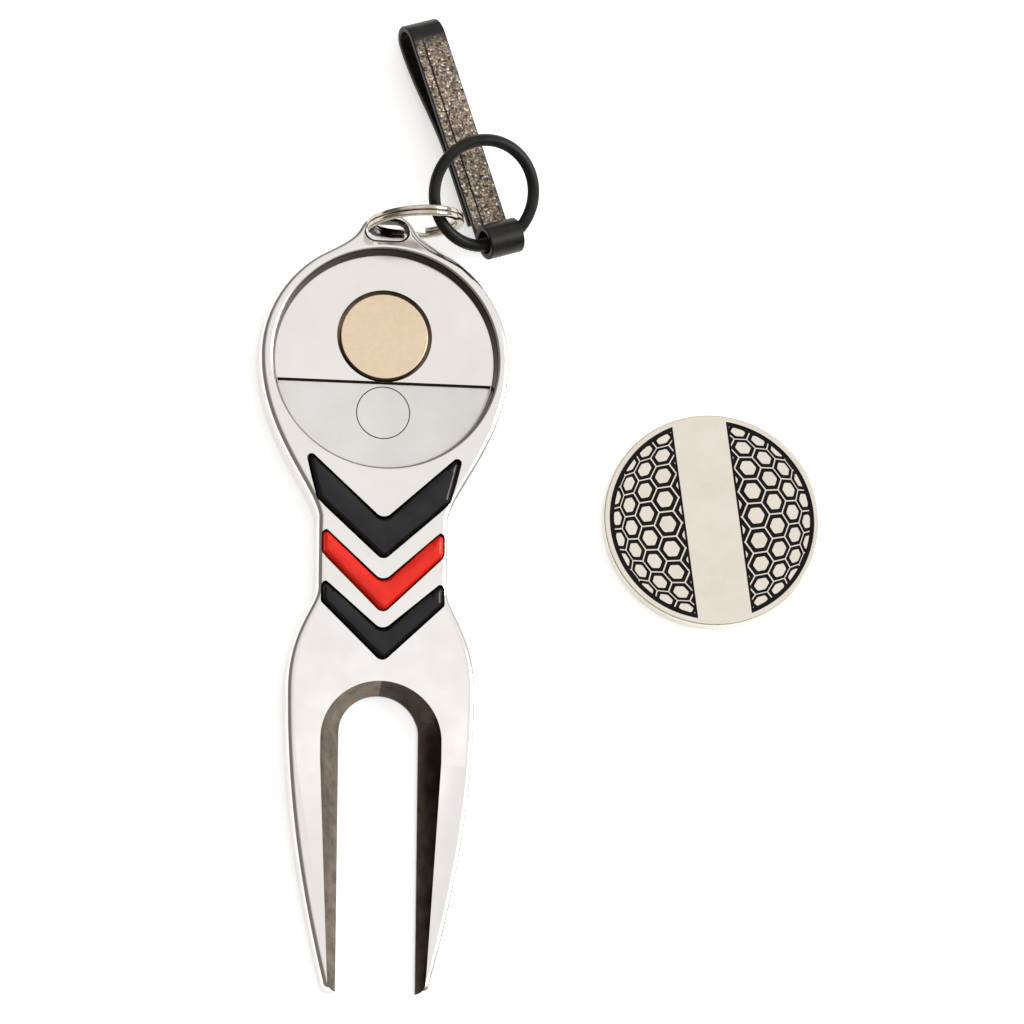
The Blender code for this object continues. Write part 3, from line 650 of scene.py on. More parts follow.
# Two copies of one dark nickel with light and shade painted in: shaded for the fork's right side, lit for its
# left.
shaded_flank = plated_metal(
    "shaded_flank_nickel", (0.05, 0.037, 0.027), (0.015, 0.011, 0.008),
    (0.12, 0.28), (1, 0.15, 1), 0.15, 1.5 * MM,
)
lit_flank = plated_metal(
    "lit_flank_nickel", (0.19, 0.15, 0.115), (0.06, 0.045, 0.034), (0.12, 0.25), (1, 0.15, 1), 0.15, 1.5 * MM,
)
cast = cast_body(satin_nickel, painted_shade_nickel, recess_floor, shaded_flank, lit_flank)
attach(cast, "tool")
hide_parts("tool_body")

# ---- Magnet ----
# A neodymium disc with a warm, fine-blasted nickel plate. It is pressed on a film of
# clear epoxy in its pocket, with a thin open ring round it and its top under the floor.

MAGNET_EDGE_ROUND = 0.12 * MM
magnet_low, magnet_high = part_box("recess_magnet")


def coin(centre, radius, bottom, top, edge, count):
    """A disc whose two rims are rounded."""
    levels = []
    for index in range(7):
        angle = pi / 2 * index / 6
        reach = radius - edge * (1 - sin(angle))
        levels.append(at_height(circle(centre, reach, count), bottom + edge * (1 - cos(angle))))
    for index in range(7):
        angle = pi / 2 * index / 6
        reach = radius - edge * (1 - cos(angle))
        levels.append(at_height(circle(centre, reach, count), top - edge * (1 - sin(angle))))
    return loft(levels)


def epoxy():
    """Clear epoxy, yellowed a little, with small bubbles and a soft uneven skin."""
    material = bpy.data.materials.new("clear_epoxy")
    material.use_nodes = True
    nodes, links = material.node_tree.nodes, material.node_tree.links
    nodes.clear()
    body_frame = nodes.new("NodeFrame")
    body_frame.label = "yellowing and bubbles"
    skin_frame = nodes.new("NodeFrame")
    skin_frame.label = "uneven skin"
    place = nodes.new("ShaderNodeTexCoord")
    place.label = "place on the film"
    bubbles = nodes.new("ShaderNodeTexVoronoi")
    bubbles.label = "small bubbles"
    tones = nodes.new("ShaderNodeValToRGB")
    tones.label = "pale bubbles in yellowed resin"
    skin = nodes.new("ShaderNodeTexNoise")
    skin.label = "settled skin"
    bump = nodes.new("ShaderNodeBump")
    bump.label = "skin relief"
    shader = nodes.new("ShaderNodeBsdfPrincipled")
    shader.label = "epoxy"
    output = nodes.new("ShaderNodeOutputMaterial")
    output.label = "epoxy surface"
    for group, height, members in ((body_frame, 250, (bubbles, tones)), (skin_frame, -100, (skin, bump))):
        for index, node in enumerate(members):
            node.parent = group
            node.location = (index * 220 - 500, height)
    place.location = (-800, 100)
    shader.location = (100, 100)
    output.location = (400, 100)
    bubbles.inputs["Scale"].default_value = 2 / MM
    tones.color_ramp.elements[0].color = (0.78, 0.74, 0.62, 1)
    tones.color_ramp.elements[1].color = (0.50, 0.43, 0.29, 1)
    skin.inputs["Scale"].default_value = 1 / MM
    bump.inputs["Strength"].default_value = 0.3
    bump.inputs["Distance"].default_value = 0.03 * MM
    shader.inputs["Roughness"].default_value = 0.3
    links.new(place.outputs["Object"], bubbles.inputs["Vector"])
    links.new(bubbles.outputs["Distance"], tones.inputs["Fac"])
    links.new(tones.outputs["Color"], shader.inputs["Base Color"])
    links.new(place.outputs["Object"], skin.inputs["Vector"])
    links.new(skin.outputs["Fac"], bump.inputs["Height"])
    links.new(bump.outputs["Normal"], shader.inputs["Normal"])
    links.new(shader.outputs["BSDF"], output.inputs["Surface"])
    return material


def dress(node_name, material):
    """Give a part of the frame that keeps its own shape a finish."""
    for material_slot in nodes_of_cad[node_name].material_slots:
        material_slot.material = material


magnet_plate = plated_metal(
    "magnet_nickel", (0.79, 0.655, 0.49), (0.74, 0.60, 0.43), (0.38, 0.52), (1, 1, 1), 0.5, 0.5 * MM,
)
magnet_radius = (magnet_high.x - magnet_low.x) / 2
magnet = solid(
    "magnet_disc",
    coin((0, MAGNET_Y), magnet_radius, magnet_low.z, magnet_high.z, MAGNET_EDGE_ROUND, 128),
    magnet_plate,
)
smooth(magnet)
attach(magnet, "tool")
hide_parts("recess_magnet")
clear_epoxy = epoxy()
for glued in ("magnet", "chevron_upper", "chevron_middle", "chevron_lower"):
    dress(glued + "_adhesive", clear_epoxy)

# ---- Chevron inlays ----
# Three soft resin chevrons, black, red and black, cast as glossy drops that stand a
# little proud of the face with round shoulders. Each is glued into its own pocket.

CHEVRON_SHOULDER = 0.75 * MM
CHEVRON_CROWN = 0.18 * MM
CHEVRON_CROWN_REACH = 2.1 * MM
CHEVRON_NET = 0.4 * MM
CHEVRON_INSETS = (0.03 * MM, 0.09 * MM, 0.18 * MM, 0.3 * MM, 0.45 * MM, 0.62 * MM)


def soft_resin(name, deep, pale, shine, skin_depth, gloss):
    """Glossy cast resin: faint cloudiness, hair scratches in the shine and an orange-peel skin."""
    material = bpy.data.materials.new(name)
    material.use_nodes = True
    nodes, links = material.node_tree.nodes, material.node_tree.links
    nodes.clear()

    colour_frame = nodes.new("NodeFrame")
    colour_frame.label = "pigment clouds"
    shine_frame = nodes.new("NodeFrame")
    shine_frame.label = "handling marks in the shine"
    skin_frame = nodes.new("NodeFrame")
    skin_frame.label = "orange-peel skin"

    place = nodes.new("ShaderNodeTexCoord")
    place.label = "place on the resin"
    pigment = nodes.new("ShaderNodeTexNoise")
    pigment.label = "uneven pigment"
    tones = nodes.new("ShaderNodeValToRGB")
    tones.label = "deep to pale pigment"
    rubs = nodes.new("ShaderNodeTexNoise")
    rubs.label = "rubbed patches"
    rub_range = nodes.new("ShaderNodeMapRange")
    rub_range.label = "wet shine to rubbed"
    peel = nodes.new("ShaderNodeTexNoise")
    peel.label = "orange peel"
    bump = nodes.new("ShaderNodeBump")
    bump.label = "peel relief"
    shader = nodes.new("ShaderNodeBsdfPrincipled")
    shader.label = "resin"
    output = nodes.new("ShaderNodeOutputMaterial")
    output.label = "resin surface"

    rows = (
        (colour_frame, 300, (pigment, tones)),
        (shine_frame, 0, (rubs, rub_range)),
        (skin_frame, -300, (peel, bump)),
    )
    for group, height, members in rows:
        for index, node in enumerate(members):
            node.parent = group
            node.location = (index * 220 - 500, height)
    place.location = (-800, 0)
    shader.location = (150, 100)
    output.location = (450, 100)

    pigment.inputs["Scale"].default_value = 0.5 / MM
    pigment.inputs["Detail"].default_value = 4.0
    tones.color_ramp.elements[0].position = 0.3
    tones.color_ramp.elements[0].color = (*deep, 1)
    tones.color_ramp.elements[1].position = 0.75
    tones.color_ramp.elements[1].color = (*pale, 1)
    rubs.inputs["Scale"].default_value = 0.8 / MM
    rubs.inputs["Detail"].default_value = 6.0
    rub_range.inputs["From Min"].default_value = 0.35
    rub_range.inputs["From Max"].default_value = 0.7
    rub_range.inputs["To Min"].default_value = shine[0]
    rub_range.inputs["To Max"].default_value = shine[1]
    peel.inputs["Scale"].default_value = 2.5 / MM
    bump.inputs["Strength"].default_value = skin_depth
    bump.inputs["Distance"].default_value = 0.01 * MM
    shader.inputs["Specular IOR Level"].default_value = gloss

    links.new(place.outputs["Object"], pigment.inputs["Vector"])
    links.new(pigment.outputs["Fac"], tones.inputs["Fac"])
    links.new(tones.outputs["Color"], shader.inputs["Base Color"])
    links.new(place.outputs["Object"], rubs.inputs["Vector"])
    links.new(rubs.outputs["Fac"], rub_range.inputs["Value"])
    links.new(rub_range.outputs["Result"], shader.inputs["Roughness"])
    links.new(place.outputs["Object"], peel.inputs["Vector"])
    links.new(peel.outputs["Fac"], bump.inputs["Height"])
    links.new(bump.outputs["Normal"], shader.inputs["Normal"])
    links.new(shader.outputs["BSDF"], output.inputs["Surface"])
    return material


def inside(outline, spot):
    """True where a point lies within a closed outline."""
    crossings = 0
    for start, end in zip(outline, outline[1:] + outline[:1]):
        if (start.y > spot.y) != (end.y > spot.y):
            if spot.x < start.x + (spot.y - start.y) * (end.x - start.x) / (end.y - start.y):
                crossings += 1
    return crossings % 2 == 1


def distance_to(outline, spot):
    """The shortest way from a point to a closed outline."""
    shortest = 1.0
    for start, end in zip(outline, outline[1:] + outline[:1]):
        run = end - start
        along = max(0.0, min(1.0, (spot - start).dot(run) / run.length_squared))
        shortest = min(shortest, (spot - start - run * along).length)
    return shortest


def net(loops, spots=()):
    """Points and triangles of a flat net that holds every edge of the loops and every spot."""
    points = []
    edges = []
    for outline in loops:
        first = len(points)
        points += [point / MM for point in outline]
        edges += [(first + index, first + (index + 1) % len(outline)) for index in range(len(outline))]
    points += [spot / MM for spot in spots]
    flat, _, faces = delaunay_2d_cdt(points, edges, [], 0, 1e-5)[:3]
    return [point * MM for point in flat], faces


def slab(shape, points, faces, height_at, bottom):
    """Add a closed body: the net as its top at varied heights, the same net below, and sides."""
    used = sorted({index for face in faces for index in face})
    upper = {index: shape.verts.new((*points[index], height_at(points[index]))) for index in used}
    lower = {index: shape.verts.new((*points[index], bottom)) for index in used}
    sides = set()
    for face in faces:
        shape.faces.new([upper[index] for index in face])
        shape.faces.new([lower[index] for index in reversed(face)])
        sides.update(zip(face, face[1:] + face[:1]))
    for first, second in sides:
        if (second, first) not in sides:
            shape.faces.new([upper[second], upper[first], lower[first], lower[second]])


def middle(points, face):
    """The mean of a face's corners."""
    return sum((points[index] for index in face), Vector((0, 0))) / len(face)


def chevron_drop(node_name, material):
    """One domed inlay: its net follows the outline inwards, and its height rises over the shoulder."""
    place = CHEVRONS[node_name]
    outline = chevron_outline(*place)
    insets = [chevron_outline(*place, -inset) for inset in CHEVRON_INSETS]
    low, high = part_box(node_name)
    spots = []
    for column in range(int((high.x - low.x) / CHEVRON_NET) + 1):
        for row in range(int((high.y - low.y) / CHEVRON_NET) + 1):
            spot = Vector((low.x + column * CHEVRON_NET, low.y + row * CHEVRON_NET))
            if inside(outline, spot) and distance_to(outline, spot) > CHEVRON_INSETS[-1] + CHEVRON_NET / 2:
                spots.append(spot)
    points, faces = net([outline] + insets, spots)
    faces = [face for face in faces if inside(outline, middle(points, face))]

    def height_at(point):
        depth = distance_to(outline, point)
        height = high.z - CHEVRON_CROWN
        if depth < CHEVRON_SHOULDER:
            height += sqrt(CHEVRON_SHOULDER ** 2 - (CHEVRON_SHOULDER - depth) ** 2) - CHEVRON_SHOULDER
        rise = 1 - min(depth / CHEVRON_CROWN_REACH, 1.0)
        return height + CHEVRON_CROWN * (1 - rise * rise)

    shape = bmesh.new()
    slab(shape, points, faces, height_at, low.z)
    drop = solid(node_name + "_drop", shape, material)
    smooth(drop, radians(60))
    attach(drop, "tool")
    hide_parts(node_name)
    return drop


black_resin = soft_resin("black_resin", (0.006, 0.006, 0.007), (0.014, 0.014, 0.015), (0.12, 0.24), 0.25, 0.3)
red_resin = soft_resin("red_resin", (0.80, 0.014, 0.006), (0.92, 0.026, 0.010), (0.12, 0.24), 0.25, 0.3)
chevron_drop("chevron_upper", black_resin)
chevron_drop("chevron_middle", red_resin)
chevron_drop("chevron_lower", black_resin)

# ---- Ball marker ----
# A struck disc in pale champagne nickel. A plain strip crosses it between two sunk
# fields filled with black enamel, and in each field a raised net of six-sided cells
# holds a flat-topped stud in every cell, crowding to the rim as dimples do on a ball.

MARKER_EDGE_ROUND = 0.25 * MM
MARKER_FIELD_RADIUS = 11.4 * MM
MARKER_STRIP_HALF_WIDTH = 3.0 * MM
MARKER_STRIP_TURN = radians(8)
MARKER_FIELD_DEPTH = 0.4 * MM
BALL_RADIUS = 12.0 * MM
CELL_PITCH = 2.97 * MM
CELL_WALL = 0.17 * MM
CELL_TO_STUD = 0.48 * MM
STUD_CORNER_ROUND = 0.3 * MM
RIM_MARGIN = 0.5 * MM
STRIP_MARGIN = 0.25 * MM
PUNCH_RADIUS = 0.3 * MM
PUNCH_DEPTH = 0.04 * MM
NET_UNDER_STUDS = 0.01 * MM
NET_OFF_FLOOR = 0.02 * MM
marker_low, marker_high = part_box("marker_disc")
marker_centre = (marker_low + marker_high) / 2
marker_radius = (marker_high.x - marker_low.x) / 2


def field_outline(side, radius, near):
    """The part of the face to one side of the plain strip; side is +1 or -1."""
    half_angle = atan2(sqrt(radius ** 2 - near ** 2), near)
    return [point * side for point in arc((0, 0), radius, -half_angle, half_angle, 72)]


def on_ball(point):
    """Crowd a flat pattern towards the rim, as it would look wrapped on a ball."""
    reach = point.length
    if reach < 1e-9:
        return point
    return point * (BALL_RADIUS * sin(reach / BALL_RADIUS) / reach)


def six_sides(centre, wide):
    """A six-sided cell with two sides across the column; wide is half its flat-to-flat width."""
    corner = wide / cos(pi / 6)
    turns = [pi / 3 * index for index in range(6)]
    return [centre + Vector((corner * cos(turn), corner * sin(turn))) for turn in turns]


def cell_centres(side):
    column_step = CELL_PITCH * cos(pi / 6)
    centres = []
    for column in range(1, 7):
        for row in range(-7, 8):
            across = column * column_step * side
            centre = Vector((across, (row + (column % 2) / 2) * CELL_PITCH))
            if centre.length < BALL_RADIUS * 1.33:
                centres.append(centre)
    return centres


def honeycomb(side, face_z, floor_z, shape):
    """The raised cell walls and studs of one field."""
    net_radius = MARKER_FIELD_RADIUS - RIM_MARGIN
    edge_of_net = field_outline(side, net_radius, MARKER_STRIP_HALF_WIDTH + STRIP_MARGIN)
    cells = []
    studs = []
    for centre in cell_centres(side):
        cell = six_sides(centre, (CELL_PITCH - CELL_WALL) / 2)
        stud_reach = CELL_PITCH / 2 - CELL_WALL / 2 - CELL_TO_STUD
        stud = rounded(six_sides(centre, stud_reach), [STUD_CORNER_ROUND] * 6, radians(20))
        cells.append([on_ball(point) for point in cell])
        studs.append([on_ball(point) for point in stud])
    points, faces = net([edge_of_net] + cells + studs)
    walls = []
    stud_faces = [[] for _ in studs]
    for face in faces:
        spot = middle(points, face)
        if not inside(edge_of_net, spot):
            continue
        owner = next((index for index, cell in enumerate(cells) if inside(cell, spot)), None)
        if owner is None:
            walls.append(face)
        elif inside(studs[owner], spot):
            stud_faces[owner].append(face)
    outward = 1 if face_z > floor_z else -1

    def flip(face):
        return face if outward > 0 else face[::-1]

    net_z = face_z - outward * NET_UNDER_STUDS
    slab(shape, points, [flip(face) for face in walls], lambda point: net_z, floor_z)
    for group in stud_faces:
        if group:
            slab(shape, points, [flip(face) for face in group], lambda point: face_z, floor_z)


champagne = plated_metal(
    "champagne_nickel", (0.79, 0.745, 0.66), (0.73, 0.68, 0.59), (0.22, 0.34), (1, 0.3, 1), 0.3, 3 * MM,
)
marker_place = Matrix.Translation((marker_centre.x, marker_centre.y, marker_low.z))
marker_place = marker_place @ Matrix.Rotation(MARKER_STRIP_TURN, 4, "Z")
marker_thickness = marker_high.z - marker_low.z
disc_shape = coin((0, 0), marker_radius, 0.0, marker_thickness, MARKER_EDGE_ROUND, 192)
disc = solid("marker_blank", disc_shape, champagne)
field_cutters = []
for side in (-1, 1):
    field = field_outline(side, MARKER_FIELD_RADIUS, MARKER_STRIP_HALF_WIDTH)
    for floor, top in (
        (marker_thickness - MARKER_FIELD_DEPTH, marker_thickness + CUT_PAST),
        (-CUT_PAST, MARKER_FIELD_DEPTH),
    ):
        field_shape = loft([at_height(field, floor), at_height(field, top)])
        field_cutters.append(solid("sunk_field", field_shape, champagne))
punch = loft([
    at_height(circle((0, 0), PUNCH_RADIUS * 0.15, 16), marker_thickness - PUNCH_DEPTH),
    at_height(circle((0, 0), PUNCH_RADIUS, 16), marker_thickness),
    at_height(circle((0, 0), PUNCH_RADIUS, 16), marker_thickness + CUT_PAST),
])
field_cutters.append(solid("centre_punch", punch, champagne))
carve(disc, field_cutters)
disc.data.transform(marker_place)
smooth(disc)
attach(disc, "marker")
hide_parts("marker_disc")
for face_name, face_z, floor_z in (
    ("front", marker_thickness, marker_thickness - MARKER_FIELD_DEPTH + NET_OFF_FLOOR),
    ("back", 0.0, MARKER_FIELD_DEPTH - NET_OFF_FLOOR),
):
    for side_name, side in (("left", -1), ("right", 1)):
        relief_shape = bmesh.new()
        honeycomb(side, face_z, floor_z, relief_shape)
        relief = solid("honeycomb_" + face_name + "_" + side_name, relief_shape, champagne)
        relief.data.transform(marker_place)
        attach(relief, "marker")
black_enamel = soft_resin(
    "black_enamel", (0.004, 0.004, 0.0045), (0.010, 0.0095, 0.009), (0.35, 0.5), 0.5, 0.1,
)
for node_name in ("enamel_front_left", "enamel_front_right", "enamel_back_left", "enamel_back_right"):
    dress(node_name, black_enamel)

# ---- Split ring ----
# Two close turns of flat spring wire with rounded corners, wound side by side. It is
# plated in bright nickel, and one short slanted step carries the wire from turn to turn.

RING_WIRE_WIDTH = 0.85 * MM
RING_WIRE_THICKNESS = 0.53 * MM
RING_WIRE_CORNER = 0.18 * MM
RING_STEP_START = radians(275)
RING_STEP_SWEEP = radians(30)
RING_TURN_OFFSET = 0.285 * MM
joint_named = {joint["name"]: joint for joint in frame["joints"]}
ring_joint = joint_named["ring_turn"]
ring_low, ring_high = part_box("split_ring")
ring_outer_radius = (ring_high.z - ring_low.z) / 2
ring_radius = ring_outer_radius - RING_WIRE_WIDTH / 2

half_width, half_thick = RING_WIRE_WIDTH / 2, RING_WIRE_THICKNESS / 2
wire_corners = [
    (-half_width, -half_thick), (half_width, -half_thick),
    (half_width, half_thick), (-half_width, half_thick),
]
wire = rounded(wire_corners, [RING_WIRE_CORNER] * 4, radians(18))
ring_levels = []
ring_sweep = 4 * pi - RING_STEP_SWEEP
for index in range(241):
    travel = ring_sweep * index / 240
    step = (travel - (2 * pi - RING_STEP_SWEEP)) / RING_STEP_SWEEP
    step = max(0.0, min(1.0, step))
    shift = RING_TURN_OFFSET * (2 * (step * step * (3 - 2 * step)) - 1)
    angle = RING_STEP_START + RING_STEP_SWEEP / 2 + travel
    level = []
    for point in wire:
        reach = ring_radius + point.x
        level.append((reach * cos(angle), reach * sin(angle), point.y + shift))
    ring_levels.append(level)
ring_nickel = plated_metal(
    "ring_nickel", (0.66, 0.60, 0.52), (0.40, 0.34, 0.28), (0.06, 0.14), (1, 1, 1), 0.05, 1.5 * MM,
)
wound_ring = solid("wound_ring", loft(ring_levels), ring_nickel)
ring_turned = Vector(ring_joint["axis"]).to_track_quat("Z", "Y").to_matrix().to_4x4()
wound_ring.data.transform(Matrix.Translation(ring_joint["pos_m"]) @ ring_turned)
smooth(wound_ring, radians(40))
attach(wound_ring, "ring")
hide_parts("split_ring")

# ---- O-ring ----
# A moulded rubber ring of round section, threaded through the split ring and through
# the clip's curl. A hair-thin flash line runs round it where the two mould halves met.

O_RING_RADIUS = 5.89 * MM
O_RING_WIRE_RADIUS = 0.66 * MM
O_RING_FLASH = 0.03 * MM


def rubber():
    """Black moulded rubber: dusty bloom, satin patches and a fine mould skin."""
    material = bpy.data.materials.new("black_rubber")
    material.use_nodes = True
    nodes, links = material.node_tree.nodes, material.node_tree.links
    nodes.clear()
    bloom_frame = nodes.new("NodeFrame")
    bloom_frame.label = "dusty bloom"
    satin_frame = nodes.new("NodeFrame")
    satin_frame.label = "satin patches"
    skin_frame = nodes.new("NodeFrame")
    skin_frame.label = "mould skin"
    place = nodes.new("ShaderNodeTexCoord")
    place.label = "place on the ring"
    bloom = nodes.new("ShaderNodeTexNoise")
    bloom.label = "bloom patches"
    tones = nodes.new("ShaderNodeValToRGB")
    tones.label = "black to dusty"
    satin = nodes.new("ShaderNodeTexNoise")
    satin.label = "touched patches"
    satin_range = nodes.new("ShaderNodeMapRange")
    satin_range.label = "satin to matt"
    skin = nodes.new("ShaderNodeTexNoise")
    skin.label = "spark-eroded mould"
    bump = nodes.new("ShaderNodeBump")
    bump.label = "skin relief"
    shader = nodes.new("ShaderNodeBsdfPrincipled")
    shader.label = "rubber"
    output = nodes.new("ShaderNodeOutputMaterial")
    output.label = "rubber surface"
    rows = (
        (bloom_frame, 300, (bloom, tones)),
        (satin_frame, 0, (satin, satin_range)),
        (skin_frame, -300, (skin, bump)),
    )
    for group, height, members in rows:
        for index, node in enumerate(members):
            node.parent = group
            node.location = (index * 220 - 500, height)
    place.location = (-800, 0)
    shader.location = (150, 100)
    output.location = (450, 100)
    bloom.inputs["Scale"].default_value = 0.4 / MM
    bloom.inputs["Detail"].default_value = 6.0
    tones.color_ramp.elements[0].position = 0.45
    tones.color_ramp.elements[0].color = (0.006, 0.006, 0.006, 1)
    tones.color_ramp.elements[1].position = 0.85
    tones.color_ramp.elements[1].color = (0.028, 0.026, 0.024, 1)
    satin.inputs["Scale"].default_value = 0.7 / MM
    satin_range.inputs["To Min"].default_value = 0.28
    satin_range.inputs["To Max"].default_value = 0.45
    skin.inputs["Scale"].default_value = 6 / MM
    bump.inputs["Strength"].default_value = 0.35
    bump.inputs["Distance"].default_value = 0.01 * MM
    shader.inputs["Specular IOR Level"].default_value = 0.2
    links.new(place.outputs["Object"], bloom.inputs["Vector"])
    links.new(bloom.outputs["Fac"], tones.inputs["Fac"])
    links.new(tones.outputs["Color"], shader.inputs["Base Color"])
    links.new(place.outputs["Object"], satin.inputs["Vector"])
    links.new(satin.outputs["Fac"], satin_range.inputs["Value"])
    links.new(satin_range.outputs["Result"], shader.inputs["Roughness"])
    links.new(place.outputs["Object"], skin.inputs["Vector"])
    links.new(skin.outputs["Fac"], bump.inputs["Height"])
    links.new(bump.outputs["Normal"], shader.inputs["Normal"])
    links.new(shader.outputs["BSDF"], output.inputs["Surface"])
    return material


o_ring_joint = joint_named["o_ring_turn"]
o_ring_levels = []
for index in range(24):
    angle = 2 * pi * index / 24
    wire_reach = O_RING_WIRE_RADIUS + (O_RING_FLASH if index % 12 == 0 else 0.0)
    circle_reach = O_RING_RADIUS + wire_reach * cos(angle)
    o_ring_levels.append(at_height(circle((0, 0), circle_reach, 144), wire_reach * sin(angle)))
black_rubber = rubber()
moulded_ring = solid("moulded_ring", loft(o_ring_levels, True), black_rubber)
o_ring_turned = Vector(o_ring_joint["axis"]).to_track_quat("Z", "Y").to_matrix().to_4x4()
moulded_ring.data.transform(Matrix.Translation(o_ring_joint["pos_m"]) @ o_ring_turned)
smooth(moulded_ring, radians(60))
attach(moulded_ring, "o_ring")
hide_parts("o_ring")

# ---- Belt clip ----
# One flat steel strip folded back on itself at the top, with its lower end curled round
# the O-ring. It is stoved in black, and the front leaf has a rough grit coat with one fine
# groove pressed down it. The grains are painted as glints of caught light, and only on the
# flat front face, which faces the light; the bends and edges stay plain black.

CLIP_HEADING = radians(109.3)
CLIP_PITCH = radians(5)
CLIP_WIDTH = 4.1 * MM
CLIP_THICKNESS = 0.65 * MM
CLIP_EDGE_ROUND = 0.14 * MM
CLIP_CURL_RADIUS = 1.3 * MM + CLIP_THICKNESS / 2
CLIP_CURL_SWEEP = radians(325)
CLIP_LENGTH = 26.0 * MM
CLIP_BEND_RADIUS = 1.65 * MM
CLIP_LEAF_STEP = 1.0 * MM
CLIP_BACK_START = 2.6 * MM
CLIP_CLOSED_LENGTH = 11.0 * MM
CLIP_CLOSED_HANDLE = 4 * MM
CLIP_BEND_HANDLE = 5 * MM
CLIP_BEND_DIP = 0.1 * MM
GROOVE_ACROSS = -0.9 * MM
GROOVE_WIDTH = 0.26 * MM
GROOVE_DEPTH = 0.12 * MM
SAND_AND_GLINT_FADE = 1.6 * MM


